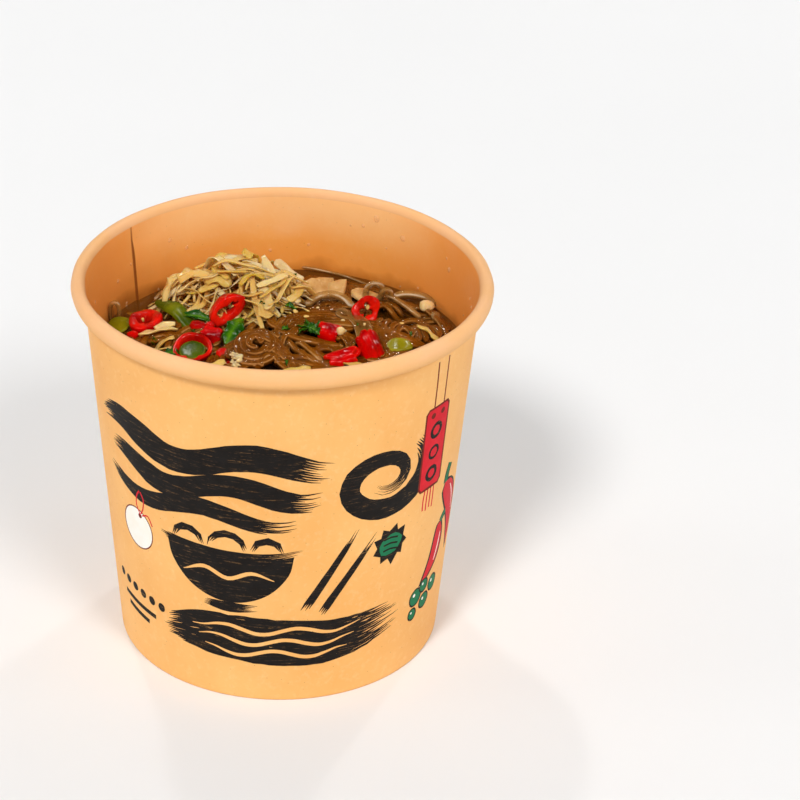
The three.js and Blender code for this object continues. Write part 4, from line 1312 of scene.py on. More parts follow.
def stack(x, y, r, cap=True, sink=0.0, lift=None, smooth=5):
    """Lays a strand on what is there: returns its heights and raises the field."""
    n = len(x)
    K, offs = disc_cells(r)
    i0, j0 = cells(x, y, K)
    z = np.full(n, -1e9)
    for a, b, dd in offs:
        z = np.maximum(z, H[i0 + a, j0 + b] + dd)
    pad = np.pad(z, 2, mode="edge")
    m = np.max(np.stack([pad[k:k + n] for k in range(5)]), 0)
    z = smooth_line(m, smooth) - sink
    if lift is not None:
        z = z + lift
    if cap:
        c = sample(CAP, x, y)
        pc = np.pad(c, 3, mode="edge")
        c = smooth_line(np.min(np.stack([pc[k:k + n] for k in range(7)]), 0), 3)
        z = np.minimum(z, c)
    for a, b, dd in offs:
        np.maximum.at(H, (i0 + a, j0 + b), z + dd)
    return z


noodles = Bag()
rng = np.random.default_rng(2024)
N_R = 0.98


def lay(path, r=N_R, tint=0.0, flat=1.0, sink=0.25, lift=None, cap=True, sides=9, smooth=5):
    p = np.asarray(path, float)
    lim = wall_in(87) - r - 0.35
    rr = np.hypot(p[:, 0], p[:, 1])
    k = np.where(rr > lim, lim / np.maximum(rr, 1e-6), 1.0)
    x, y = p[:, 0] * k, p[:, 1] * k
    z = stack(x, y, r, cap, sink, lift, smooth)
    q = np.stack([x, y, z], 1)
    wob = 1 + 0.05 * np.sin(np.arange(len(x)) * 0.35 + rng.uniform(0, 6))
    V, F = tube(q, r * wob, sides, flat=flat)
    noodles.add(V, F, tint=tint)
    return q


def hero(points, r=N_R, tint=0.5, flat=1.0, twist=None, sides=12, step=0.7):
    """A strand that stands clear of the heap, along given points."""
    q = spline(points, step)
    q = np.stack([smooth_line(q[:, k], 2) for k in range(3)], 1)
    V, F = tube(q, np.full(len(q), r), sides, twist=twist, flat=flat)
    noodles.add(V, F, mat=1, tint=tint)
    K, offs = disc_cells(r)
    i0, j0 = cells(q[:, 0], q[:, 1], K)
    for a, b, dd in offs:
        np.maximum.at(H, (i0 + a, j0 + b), q[:, 2] + dd)


def walk(x, y, heading, length, radius, turnsign, wander=0.5, step=1.0, lim=None):
    pts = [(x, y)]
    ph = rng.uniform(0, 6.28, 3)
    for i in range(int(length / step)):
        s = i * step
        k = turnsign / radius * (1 + wander * math.sin(s / 23 + ph[0]) + 0.5 * wander * math.sin(s / 11 + ph[1]))
        rr = math.hypot(x, y)
        lim_r = (lim if lim else float(noodle_edge(math.atan2(x, -y))) + 1.2)
        if rr > lim_r - 4:
            d = (math.atan2(-y, -x) - heading + math.pi) % (2 * math.pi) - math.pi
            k += np.clip(d, -1, 1) * 0.22 * min(1.5, (rr - lim_r + 4) / 4)
        heading += k * step
        x += math.cos(heading) * step
        y += math.sin(heading) * step
        pts.append((x, y))
    return np.array(pts)


def bundle(path, count, spacing=1.9, **kw):
    p = np.asarray(path, float)
    d = np.gradient(p, axis=0)
    nrm = np.stack([-d[:, 1], d[:, 0]], 1) / (np.linalg.norm(d, axis=1)[:, None] + 1e-9)
    for k in range(count):
        o = (k - (count - 1) / 2) * spacing + 0.6 * np.sin(np.arange(len(p)) / 14 + rng.uniform(0, 6.28))
        a, b = rng.integers(0, 6), len(p) - rng.integers(0, 6)
        q = p + nrm * o[:, None]
        lay(q[a:b], r=N_R * rng.uniform(0.88, 1.08), **kw)


# lower layers: long loops that fill the heap
for k in range(30):
    a = rng.uniform(0, 2 * math.pi)
    r = 46 * math.sqrt(rng.random())
    path = walk(r * math.cos(a), r * math.sin(a), rng.uniform(0, 6.28), rng.uniform(70, 130), rng.uniform(9, 20), rng.choice([-1, 1]))
    bundle(path, int(rng.integers(2, 4)), tint=float(rng.uniform(0, 0.3)), sink=0.45, sides=7)
# strands that run round near the wall
for a0, a1, rr, t in ((185, 262, 50.6, 0.3), (200, 300, 49.0, 0.2), (20, 120, 50.2, 0.2), (60, 170, 48.6, 0.4), (300, 390, 50.0, 0.2), (30, 100, 51.2, 0.5)):
    b = np.radians(np.linspace(a0 - 90, a1 - 90, int(abs(a1 - a0) * 0.85)))
    w = rr + 0.9 * np.sin(b * 5 + a0)
    lay(np.stack([w * np.cos(b), w * np.sin(b)], 1), tint=t, sink=0.2)


def arc(cx, cy, r, a0, a1, ry=None, n=None):
    n = n or max(8, int(abs(math.radians(a1 - a0)) * max(r, ry or r) / 0.8))
    a = np.radians(np.linspace(a0, a1, n))
    return np.stack([cx + r * np.cos(a), cy + (ry or r) * np.sin(a)], 1)


def upper(n, seed, lo=35, hi=90):
    global rng
    rng = np.random.default_rng(seed)
    for k in range(n):
        a = rng.uniform(0, 2 * math.pi)
        r = 46 * math.sqrt(rng.random())
        x, y = r * math.cos(a), r * math.sin(a)
        if in_cabbage(x, y) < 1:
            continue
        path = walk(x, y, rng.uniform(0, 6.28), rng.uniform(lo, hi), rng.uniform(6, 15), rng.choice([-1, 1]), 0.7)
        bundle(path, int(rng.integers(1, 4)), tint=float(rng.uniform(0, 0.5)), sink=0.3)


upper(24, 5)
upper(14, 9)
# the coiled mound left of the middle and the small coil before it
for rx, ry, a0, a1 in ((6.9, 9.4, 20, 330), (5.0, 7.4, -40, 300), (3.3, 5.2, 30, 350), (1.7, 2.9, -20, 300)):
    lay(arc(-7.7, -4.9, rx, a0, a1, ry), r=1.1, tint=0.25, sink=0.3)
for rx, ry, a0, a1 in ((4.3, 5.2, 10, 200), (2.4, 3.2, -10, 220)):
    lay(arc(-3.6, -13.6, rx, a0, a1, ry), r=1.0, tint=0.45, sink=0.2)
# right mound: arcs one inside the other
for rx, ry, a0, a1 in ((10.6, 15.6, 10, 190), (8.4, 12.6, 0, 200), (6.2, 9.6, -10, 215), (4.1, 6.4, -20, 200), (2.2, 3.6, -10, 230)):
    lay(arc(34.6, 4.4, rx, a0, a1, ry), r=1.1, tint=0.25, sink=0.25)
# the long edge of the middle mound and the strands in front of it
for off, t in ((0.0, 0.5), (2.1, 0.2), (-2.2, 0.3), (4.3, 0.1)):
    lay(spline([(0.0 + off * 0.8, 1.5), (1.8 + off, 9.6 - off * 0.4), (5.5 + off * 0.6, 12.8 - off), (10.5, 14.2 - off), (15.5, 15.0 - off)], 0.8), tint=t, sink=0.2)
lay(spline([(3.8, -1.5), (6.6, -5.4), (9.4, -9.4), (12.5, -12.2), (16.5, -15)], 0.8), tint=0.7, sink=0.0)
lay(spline([(1.8, -3.2), (4.6, -7.4), (7.4, -11.2), (10.5, -14.4), (14.5, -17.4)], 0.8), tint=0.5, sink=0.0)
lay(spline([(-1, 3), (3.5, -1), (10, -3.2), (17, -4.2)], 0.8), tint=0.3, sink=0.1)
lay(spline([(30, -8), (33, -5), (38, -3), (43, 2), (45, 9)], 0.8), tint=0.4, sink=0.1)


def field(points, lift):
    """Points on top of what is there."""
    p = np.asarray(points, float)
    return np.stack([p[:, 0], p[:, 1], sample(H, p[:, 0], p[:, 1]) + lift], 1)


# the broad band that bends over the mound
hero(field([(15.6, 17.0), (18.6, 15.2), (21.0, 11.6), (22.4, 7.2), (23.2, 2.4), (24.0, -2.6)], 0.5) * [1, 1, 1], r=2.6, tint=0.75, flat=0.26, sides=16)
hero([(24.3, 30.5, 87.6), (24.1, 30.5, 90.4), (24.6, 30.5, 92.4), (25.9, 30.5, 93.7), (27.6, 30.5, 93.8), (29.0, 30.5, 92.3), (28.9, 30.5, 90.3), (27.9, 30.4, 88.6), (26.4, 30.0, 87.3)], r=0.95, tint=1.0)
hero([(28.6, 29.0, 88.4), (28.5, 29.0, 90.9), (29.5, 29.0, 92.5), (31.0, 29.0, 92.4), (31.7, 28.8, 90.9), (30.9, 28.6, 89.2)], r=0.75, tint=0.9)
hero([(29.6, 29.4, 90.6), (32.1, 28.4, 90.2), (34.2, 25.9, 90.0), (36.5, 22.8, 89.7), (38.2, 20.6, 89.3), (40.0, 19.4, 88.2)], r=0.8, tint=0.9)
hero([(32.4, 33.6, 87.8), (34.6, 33.6, 88.8), (37.4, 33.4, 89.0), (40.4, 32.4, 89.0), (43.0, 31.0, 88.8), (45.8, 29.2, 88.0)], r=1.45, tint=1.0, flat=0.7)
hero([(6.6, 23.6, 89.4), (9.4, 26.4, 90.8), (12.5, 27.7, 91.3), (15.4, 27.5, 91.3), (18.2, 25.8, 90.7), (20.4, 22.8, 89.2)], r=1.25, tint=1.0)
hero([(-37.4, 30.0, 87.4), (-36.2, 31.6, 88.6), (-34.9, 32.7, 89.3), (-33.6, 33.0, 88.9), (-33.2, 32.0, 88.0), (-34.4, 31.6, 87.6)], r=0.6, tint=1.0)
hero([(-34.4, 32.0, 87.8), (-31.3, 34.2, 88.2), (-28.7, 36.0, 88.3), (-26.0, 37.6, 88.4), (-23.0, 39.6, 88.0)], r=0.9, tint=0.8)
hero([(-28.8, 37.4, 88.2), (-27.0, 39.2, 88.9), (-24.8, 41.4, 89.2), (-21.6, 43.4, 88.6)], r=0.6, tint=0.9)
hero([(-49.0, 18.4, 84.8), (-49.7, 18.0, 88.6), (-49.4, 18.0, 92.0), (-48.0, 18.0, 93.0), (-47.0, 18.0, 91.4), (-47.0, 18.0, 87.8), (-47.3, 18.2, 84.4)], r=0.7, tint=1.0)
# thin strand on the back wall, just over the level
wb = [(174, 88.3), (170, 88.0), (166, 87.6), (162, 87.3), (158, 86.8), (154, 86.2), (150, 85.6)]
hero([((wall_in(z) - 1.1) * math.sin(math.radians(d)), -(wall_in(z) - 1.1) * math.cos(math.radians(d)), z) for d, z in wb], r=0.5, tint=0.8)
wb = [(-171, 87.6), (-166, 88.4), (-160, 88.2), (-155, 87.4), (-150, 86.4)]
hero([((wall_in(z) - 1.1) * math.sin(math.radians(d)), -(wall_in(z) - 1.1) * math.cos(math.radians(d)), z) for d, z in wb], r=0.5, tint=0.7)



def deepness(bag, field_top, start, reach):
    """How deep each point lies under the top of the heap, 0 to 1, kept for painted shade on the deeper pieces."""
    v = np.concatenate(bag.v)
    d = sample(field_top, v[:, 0], v[:, 1]) - v[:, 2]
    bag.a["low"] = [np.clip((d - start) / reach, 0, 1)]


def inside_wall(bag, gap=0.3):
    """Presses back what would reach into the board of the cup."""
    for i, v in enumerate(bag.v):
        deg = np.degrees(np.arctan2(v[:, 0], -v[:, 1])) % 360
        most = wall_in(v[:, 2]) - gap - BOARD * inner_lap(deg)
        k = np.minimum(1, most / np.maximum(np.hypot(v[:, 0], v[:, 1]), 1e-6))
        bag.v[i] = np.stack([v[:, 0] * k, v[:, 1] * k, v[:, 2]], 1)


inside_wall(noodles)
deepness(noodles, H, 0.9, 2.8)
noodle_obj = noodles.build("glass_noodles", [mat_noodle, mat_loop])
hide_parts("noodle_heap")
pieces.append(noodle_obj)

# ------------------------------------------------------------------ cabbage shreds
shreds = Bag()
rng = np.random.default_rng(77)


def ribbon(P, W, T, roll=0.0, cup=0.0, ruffle=0.0, seed=0.0, nw=7):
    """A thin closed ribbon along P: W across, T thick, turned by roll, hollowed by cup, waved at its edges."""
    P = np.asarray(P, float)
    n = len(P)
    W = np.broadcast_to(np.asarray(W, float), (n,))
    roll = np.broadcast_to(np.asarray(roll, float), (n,))
    t = np.gradient(P, axis=0)
    t /= np.linalg.norm(t, axis=1)[:, None] + 1e-12
    side = np.cross(t, (0, 0, 1.0))
    ln = np.linalg.norm(side, axis=1)[:, None]
    side = np.where(ln < 0.2, np.array([[1.0, 0, 0]]), side / np.maximum(ln, 1e-9))
    side -= (np.sum(side * t, axis=1))[:, None] * t
    side /= np.linalg.norm(side, axis=1)[:, None]
    nrm = np.cross(side, t)
    c, s = np.cos(roll)[:, None], np.sin(roll)[:, None]
    side, nrm = side * c + nrm * s, -side * s + nrm * c
    v = np.linspace(-1, 1, nw)
    s_ = np.arange(n) * np.linalg.norm(P[-1] - P[0]) / max(n - 1, 1)
    top, bot, vv = [], [], []
    for i in range(n):
        for q in v:
            o = q * W[i] / 2
            lz = cup * W[i] * (q * q - 0.33) / 2 + ruffle * math.sin(1.15 * s_[i] + 2.2 * q + seed) * q * q
            th = T * (1 - 0.72 * q**4)
            base = P[i] + side[i] * o
            top.append(base + nrm[i] * (lz + th / 2))
            bot.append(base + nrm[i] * (lz - th / 2))
            vv.append(q)
    V = np.array(top + bot)
    m = n * nw
    F = []
    for i in range(n - 1):
        for j in range(nw - 1):
            a = i * nw + j
            F.append((a, a + nw, a + nw + 1, a + 1))
            F.append((m + a, m + a + 1, m + a + nw + 1, m + a + nw))
    loop = list(range(nw)) + [i * nw + nw - 1 for i in range(1, n)] + [(n - 1) * nw + j for j in range(nw - 2, -1, -1)] + [i * nw for i in range(n - 2, 0, -1)]
    for q in range(len(loop)):
        a, b = loop[q], loop[(q + 1) % len(loop)]
        F.append((a, b, m + b, m + a))
    return V, F, np.array(vv + vv)


HC = np.maximum(H, np.where(in_cabbage(GX, GY, -2.5) < 1, cabbage_top(GX, GY) - 2.4, 0))


def shred(points, width, thick=0.5, lift=0.3, roll=0.0, green=0.0, cup=0.2, ruffle=0.0, tip=(0.6, 0.6), arch=0.0, cap=True, step=0.9, rise=None, tone=None, pale=None, nw=7):
    """A shred laid over what is there, following given points in plan."""
    p = spline([(a, b, 0) for a, b in points], step)[:, :2]
    n = len(p)
    if n < 5:
        return
    z = sample(HC, p[:, 0], p[:, 1])
    pad = np.pad(z, 2, mode="edge")
    z = smooth_line(np.max(np.stack([pad[k:k + n] for k in range(5)]), 0), 4) + thick * 0.5 + lift
    u = np.linspace(-1, 1, n)
    z = z + arch * (1 - u * u)
    if rise is not None:
        z = z + np.interp(u, (-1, 1), rise)
    if cap:
        z = np.minimum(z, smooth_line(sample(TOPCAP, p[:, 0], p[:, 1]), 3))
    w = width * np.where(u < 0, 1 - (1 - tip[0]) * np.abs(u) ** 5, 1 - (1 - tip[1]) * np.abs(u) ** 5)
    w = w * (1 + 0.10 * np.sin(5 * u + rng.uniform(0, 6)) + 0.06 * np.sin(13 * u + rng.uniform(0, 6)))
    P = np.stack([p[:, 0], p[:, 1], z], 1)
    V, F, vv = ribbon(P, w, thick, roll, cup, ruffle, rng.uniform(0, 6), nw)
    if tone is None:
        tone = float(np.clip(rng.normal(0.2, 0.32), 0, 0.95))
    if pale is None:
        pale = float(rng.random() < 0.3) * rng.uniform(0.2, 0.8)
    shreds.add(V, F, green=np.clip(green * (0.35 + 0.9 * vv**2), 0, 1), tone=tone * (1 - pale), pale=pale)
    K, offs = disc_cells(max(0.6, width / 2 * 0.8))
    i0, j0 = cells(p[:, 0], p[:, 1], K)
    for a, b, _ in offs:
        np.maximum.at(HC, (i0 + a, j0 + b), z + thick * 0.25 - max(lift, 0) * 0.4 - arch * 0.3)


def rand_shred(x, y, L, w, **kw):
    h = rng.uniform(0, 2 * math.pi)
    if in_cabbage(x, y) < 1.1:  # round the heap, and hanging down at its front and right
        t = math.atan2((y - CAB[1]) / CAB[3], (x - CAB[0]) / CAB[2])
        h = t + rng.normal(0, 0.5) + (0 if x > -9 and y < 27 else 1.57 + rng.normal(0, 0.3))
    k = rng.normal(0, 1.0) / L * 1.3
    n = 5
    pts = []
    cx, cy = x - math.cos(h) * L / 2, y - math.sin(h) * L / 2
    for i in range(n):
        pts.append((cx, cy))
        h += k * L / n + rng.normal(0, 0.12)
        cx += math.cos(h) * L / (n - 1)
        cy += math.sin(h) * L / (n - 1)
    shred(pts, w, **kw)


for k in range(400):
    a = rng.uniform(0, 2 * math.pi)
    q = math.sqrt(rng.random())
    x, y = CAB[0] + CAB[2] * q * math.cos(a), CAB[1] + CAB[3] * q * math.sin(a)
    if float(sample(HC, x, y)) > cabbage_top(x, y) + 1.4:
        continue
    L = rng.uniform(9, 22) * (1.0 if q < 0.75 else 0.65)
    rand_shred(x, y, L, 0.3 + rng.uniform(0.55, 1.15) ** 2 * 1.2, nw=5, thick=rng.uniform(0.2, 0.34), lift=rng.uniform(0, 0.5),
               roll=rng.uniform(-0.9, 0.9), green=float(rng.random() < 0.35) * rng.uniform(0.3, 1.0), cup=rng.uniform(-0.2, 0.4),
               ruffle=rng.uniform(0, 0.35), arch=rng.uniform(-0.2, 1.1))
# broad leaf pieces and long strips on the heap
for k in range(18):
    a, q = rng.uniform(0, 2 * math.pi), math.sqrt(rng.random()) * 0.85
    rand_shred(CAB[0] + CAB[2] * q * math.cos(a), CAB[1] + CAB[3] * q * math.sin(a), rng.uniform(8, 14), rng.uniform(2.4, 4.4), thick=0.3,
               lift=0.6, roll=rng.uniform(-0.5, 0.5), green=float(rng.random() < 0.4) * rng.uniform(0.2, 0.7), cup=rng.uniform(-0.2, 0.3),
               ruffle=rng.uniform(0.3, 0.6), arch=rng.uniform(0, 0.8), tip=(0.45, 0.3))
shred([(-22.8, 35.5), (-20.3, 32.6), (-17.4, 29.4), (-13.4, 25.2)], 3.3, 0.6, 0.9, roll=0.25, cup=0.15, tip=(0.5, 0.7), arch=0.8)
shred([(-20.2, 27.8), (-16.0, 28.2), (-11.4, 28.6), (-7.0, 29.0), (-3.0, 30.6)], 2.4, 0.5, 0.9, roll=0.2, arch=0.9)
shred([(-30.6, 23.4), (-27.4, 25.2), (-24.4, 23.8), (-21.4, 23.0), (-18.6, 25.4)], 2.0, 0.5, 0.7, roll=0.3)
shred([(-30.0, 26.6), (-26.6, 27.6), (-23.2, 26.8), (-19.8, 26.4)], 2.8, 0.45, 0.9, roll=-0.3, cup=0.5, arch=0.6)
shred([(-10.6, 17.4), (-8.0, 15.4), (-5.6, 13.0), (-4.4, 10.4)], 4.8, 0.5, 1.0, roll=0.3, cup=0.3, ruffle=0.5, tip=(0.6, 0.5))
shred([(-6.0, 21.0), (-4.4, 16.6), (-3.8, 12.4)], 3.2, 0.5, 1.0, roll=-0.4, ruffle=0.3, green=0.5)
shred([(-6.4, 15.6), (-3.8, 18.4), (-1.4, 21.2), (0.6, 24.6)], 2.2, 0.5, 1.0, roll=0.4, green=0.4)
shred([(-7.4, 19.8), (-3.4, 22.6), (1.2, 26.4)], 2.0, 0.5, 1.1, roll=-0.3)
shred([(-12.5, 21.0), (-9.0, 22.8), (-5.4, 23.6)], 2.6, 0.5, 1.2, roll=0.2, green=0.9, ruffle=0.4)
shred([(-13.0, 18.6), (-9.4, 17.0), (-5.6, 18.2)], 2.2, 0.45, 0.9, roll=0.3)
shred([(-3.8, 12.8), (-1.8, 16.6), (0.0, 21.4), (2.6, 26.2)], 1.9, 0.5, 0.9, roll=0.4)
shred([(-19.4, 24.4), (-15.0, 25.0), (-10.4, 25.4)], 2.6, 0.5, 1.1, roll=0.3, green=0.3)
shred([(-25.6, 33.6), (-21.4, 36.4), (-16.4, 38.6), (-11.6, 39.4)], 2.4, 0.5, 0.7, roll=0.3)
shred([(1.6, 18.6), (3.8, 22.0), (5.4, 26.6)], 2.4, 0.5, 0.8, roll=-0.4, green=0.3)
shred([(2.6, 23.4), (6.4, 25.4), (9.6, 28.8)], 2.2, 0.5, 0.8, roll=0.3)
shred([(-0.5, 30.0), (3.4, 28.4), (7.2, 29.6)], 2.4, 0.5, 0.8, roll=0.2)
# two blades that stand out at the back
for pts, w0, rl in (
    ([(-4.4, 30.6, 94.0), (-6.6, 31.8, 96.4), (-9.4, 32.6, 98.4), (-12.2, 33.4, 99.8)], (5.2, 4.2, 2.6, 0.5), 0.97),
    ([(-3.4, 30.8, 93.4), (-4.0, 31.8, 96.2), (-5.0, 32.4, 98.8), (-5.9, 32.6, 101.2)], (4.8, 3.8, 2.6, 1.3), 0.93),
):
    q = spline(pts, 0.8)
    w = np.interp(np.linspace(0, 1, len(q)), np.linspace(0, 1, 4), w0)
    V, F, vv = ribbon(q, w, 0.55, rl, 0.15, 0.12, 1.0)
    shreds.add(V, F, green=0.0, tone=0.0, pale=0.8)
# pale limp pieces at the left
shred([(-44.0, 20.8), (-41.6, 23.0), (-38.6, 25.0)], 3.0, 0.5, 0.6, roll=0.4)
shred([(-40.6, 5.0), (-37.2, 6.6), (-33.6, 8.2), (-29.8, 7.8)], 2.8, 0.6, 0.6, roll=0.3, ruffle=0.3)
shred([(-38.0, 1.6), (-34.4, 2.0), (-30.6, 3.0)], 2.6, 0.5, 0.5, roll=0.2, ruffle=0.3)
shred([(-36.2, 8.6), (-33.6, 10.4), (-30.6, 10.2)], 2.4, 0.6, 0.9, roll=-0.2)
shred([(-38.4, -2.0), (-34.6, -1.0), (-31.4, -2.4)], 2.2, 0.4, 0.4, roll=0.4, ruffle=0.3)
# a few more over the rest of the heap
for x, y, L, w in ((-18, -30, 14, 2.2), (-3, -37, 12, 2.0), (22, -16, 11, 1.8), (36, -12, 10, 1.8), (-38, -20, 12, 2.4), (2, -19, 12, 2.0),
                   (42, 6, 9, 1.8), (-20, -16, 10, 2.0), (27, -33, 12, 2.2), (-28, -20, 10, 1.6), (12, -27, 11, 1.8), (44, -10, 8, 1.6), (-12, -42, 12, 2.0)):
    rand_shred(x, y, L, w, thick=0.5, lift=0.3, roll=rng.uniform(-0.5, 0.5), green=rng.uniform(0, 0.5), ruffle=0.3)
inside_wall(shreds)
deepness(shreds, HC, 1.6, 4.0)
shred_obj = shreds.build("cabbage_shreds", [mat_cabbage])
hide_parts("cabbage_heap")
pieces.append(shred_obj)

# ------------------------------------------------------------------ leaves
leaves = Bag()


def leaf(at, heading, length, width, seed, lobes=5, fold=0.5, droop=0.6, pitch=0.0, roll=0.0, teeth=0.12):
    """A thin leaf: a rib from stalk to tip, two halves folded up from it, a toothed and waved edge."""
    nu, nv = 30, 11
    V, gr = [], []
    for side in (1, -1):
        for i in range(nu):
            u = i / (nu - 1)
            half = width / 2 * max(0.04, math.sin(math.pi * min(1, u * 0.97 + 0.02)) ** 0.7)
            half *= 1 + 0.22 * math.sin(lobes * 2 * math.pi * u + seed) + teeth * math.sin(lobes * 5.3 * math.pi * u + 2 * seed)
            for j in range(nv):
                v = -1 + 2 * j / (nv - 1)
                x = (u - 0.45) * length + 0.10 * length * abs(v) * math.sin(lobes * 2 * math.pi * u + seed + 1)
                y = v * half
                z = fold * abs(y) + 0.30 * math.sin(lobes * 3.2 * u * math.pi + seed) * v * v - droop * (u - 0.4) ** 2 * 4
                z += side * 0.10 * (1 - 0.5 * v * v)
                V.append((x, y, z))
                gr.append(0.75 * math.exp(-abs(v) * 7) + 0.25 * max(0, math.sin(9 * u + seed)))
    F = []
    m = nu * nv
    for i in range(nu - 1):
        for j in range(nv - 1):
            a = i * nv + j
            F.append((a, a + nv, a + nv + 1, a + 1))
            F.append((m + a, m + a + 1, m + a + nv + 1, m + a + nv))
    loop = list(range(nv)) + [i * nv + nv - 1 for i in range(1, nu)] + [(nu - 1) * nv + j for j in range(nv - 2, -1, -1)] + [i * nv for i in range(nu - 2, 0, -1)]
    for q in range(len(loop)):
        a, b = loop[q], loop[(q + 1) % len(loop)]
        F.append((a, b, m + b, m + a))
    leaves.add(place(np.array(V), at, (roll, pitch, heading)), F, flesh=np.clip(gr, 0, 1))


def top_at(x, y):
    return float(sample(HC, float(x), float(y)))


def on(x, y, lift):
    return (x, y, top_at(x, y) + lift)


# herb sprig in the middle: three lobes from one point
for h, L, w, s in ((8, 5.2, 4.2, 1.0), (75, 4.4, 3.6, 2.2), (150, 4.6, 3.8, 3.1), (205, 3.6, 3.0, 4.4), (-40, 3.8, 3.2, 5.0)):
    a = math.radians(h)
    leaf((7.6 + 1.6 * math.cos(a), 3.4 + 1.8 * math.sin(a), 93.1), h, L, w, s, lobes=3, fold=0.25, droop=0.7, roll=14, teeth=0.2)
leaf((-24.6, 13.4, 91.2), -14, 9.4, 3.6, 2.0, lobes=2, fold=0.5, droop=0.9, roll=22, teeth=0.05)
leaf((-31.2, -4.4, 88.8), 20, 4.6, 3.2, 3.0, lobes=3, fold=0.4, roll=15)
leaf((0.6, 36.0, 93.2), -32, 8.4, 3.2, 4.0, lobes=2, fold=0.5, roll=35, teeth=0.05)
leaf(on(0.8, 2.4, 0.7), 30, 2.8, 1.8, 5.0, lobes=3, roll=15)
leaf(on(2.0, 17.6, 0.9), -20, 3.6, 2.0, 6.0, lobes=2, roll=20)
leaf(on(-15, -11, 0.9), 50, 6.4, 4.4, 7.0, lobes=3, fold=0.35)
leaf(on(22, -24, 0.9), 120, 7.0, 4.6, 8.0, lobes=3, fold=0.35)
leaf(on(-4, -31, 0.8), 80, 6.0, 3.4, 9.0, lobes=3)
leaf(on(-31, -23, 0.8), 10, 5.6, 3.6, 10.0, lobes=3)
for k in range(16):
    a, r = rng.uniform(0, 6.28), 42 * math.sqrt(rng.random())
    x, y = r * math.cos(a), r * math.sin(a)
    leaf(on(x, y, 0.35), rng.uniform(0, 360), rng.uniform(1.0, 2.0), rng.uniform(0.7, 1.3), rng.uniform(0, 6), lobes=2, roll=rng.uniform(-10, 30))
leaf_obj = leaves.build("herb_leaves", [mat_leaf])
pieces.append(leaf_obj)

# ------------------------------------------------------------------ small bits
small_chili, crumbs = Bag(), Bag()


def chunk(bag, at, a, b, h, seed, turn=(0, 0, 0), **kw):
    """A small broken piece with flat faces and soft corners."""
    v, f = small_ball(2)
    r2 = np.random.default_rng(int(seed * 11) + 3)
    nrm = r2.normal(0, 1, (10, 3))
    nrm /= np.linalg.norm(nrm, axis=1)[:, None]
    q = np.maximum(v @ nrm.T, 1e-3) / r2.uniform(0.65, 1.0, 10)
    n = np.minimum(1.1, 1.0 / (np.sum(q**10, axis=1) ** 0.1))
    V = v * n[:, None] * np.array([a, b, h])
    bag.add(place(V, at, turn), f, **kw)


def bit(bag, x, y, a, b, h, seed, lift=0.3, turn=(0, 0, 0), **kw):
    chunk(bag, on(x, y, lift), a, b, h, seed, turn, **kw)


chunk(small_chili, (-23.8, 9.4, 90.0), 2.9, 1.6, 1.2, 1.0, (30, 10, -10), flesh=0.1)
chunk(small_chili, (-22.4, 3.8, 89.8), 2.5, 1.3, 1.0, 2.6, (14, 0, 28), flesh=0.1)
chunk(small_chili, (-20.4, 8.9, 90.8), 1.7, 1.1, 1.0, 2.0, (20, 0, 30), flesh=0.1)
chunk(small_chili, (-42.6, 7.2, 88.2), 1.9, 1.5, 0.8, 3.0, (20, 0, 40), flesh=0.2)
chunk(small_chili, (-37.4, -3.6, 88.0), 1.9, 0.9, 0.6, 4.0, (10, 0, -20), flesh=0.2)
chunk(small_chili, (-16.6, -7.0, 89.6), 2.3, 2.1, 1.4, 5.0, (40, 0, 10), flesh=0.3)
chunk(small_chili, (-14.6, -12.6, 89.2), 1.5, 1.9, 0.9, 6.0, (30, 0, 30), flesh=0.2)
chunk(small_chili, (20.4, -8.6, 91.6), 1.8, 1.9, 1.3, 7.0, (30, 0, -20), flesh=0.1)
chunk(small_chili, (10.8, 4.8, 92.6), 1.3, 0.9, 1.3, 8.0, (10, 0, 20), flesh=0.5)
for k, (x, y) in enumerate(((38, -9), (-8, -34), (26, -14), (-30, -24), (6, -40), (-16, -36), (14, -24), (40, -18))):
    bit(small_chili, x, y, 1.4, 1.1, 0.8, 20 + k * 1.7, 0.4, (10 * math.sin(k), 12 * math.cos(k), 40 * k), flesh=0.35)
chili_bits = small_chili.build("chili_bits", [mat_chili])
pieces.append(chili_bits)

chunk(crumbs, (41.8, 25.2, 89.4), 2.3, 1.8, 1.5, 1.0, (20, 0, 10))
chunk(crumbs, (3.0, 32.6, 93.4), 1.1, 0.9, 1.0, 2.0)
chunk(crumbs, (16.3, 2.4, 92.6), 1.3, 1.0, 1.5, 3.0, (20, 10, 10))
chunk(crumbs, (17.2, 3.2, 92.2), 0.9, 0.8, 0.9, 4.0)
chunk(crumbs, (18.6, -8.0, 92.4), 1.2, 0.8, 0.6, 5.0, (20, 0, -20))
chunk(crumbs, (44.4, 19.8, 88.6), 1.6, 2.4, 0.9, 6.0, (20, 30, 10), green=0.9)
for k in range(44):  # crumbs of white pith, stuck together
    u, w = np.clip(rng.normal(0, 1, 2), -1.8, 1.8)
    s = rng.uniform(0.28, 0.85)
    bit(crumbs, -12.9 + 0.7 * u + 0.5 * w, -12.4 - 1.2 * u + 0.6 * w, s * 1.3, s * rng.uniform(0.6, 1), s * 0.5, 30 + 4 * k, 0.2 + 0.6 * rng.random(), (20 * math.sin(k), 0, 50 * k))
for k in range(10):
    a, r = rng.uniform(0, 6.28), 44 * math.sqrt(rng.random())
    if -34 < r * math.cos(a) < 2 and -16 < r * math.sin(a) < 12:
        continue
    bit(crumbs, r * math.cos(a), r * math.sin(a), rng.uniform(0.3, 0.7), rng.uniform(0.3, 0.6), rng.uniform(0.25, 0.45), 90 + k, 0.2)
crumb_obj = crumbs.build("nut_crumbs", [mat_nut])
pieces.append(crumb_obj)

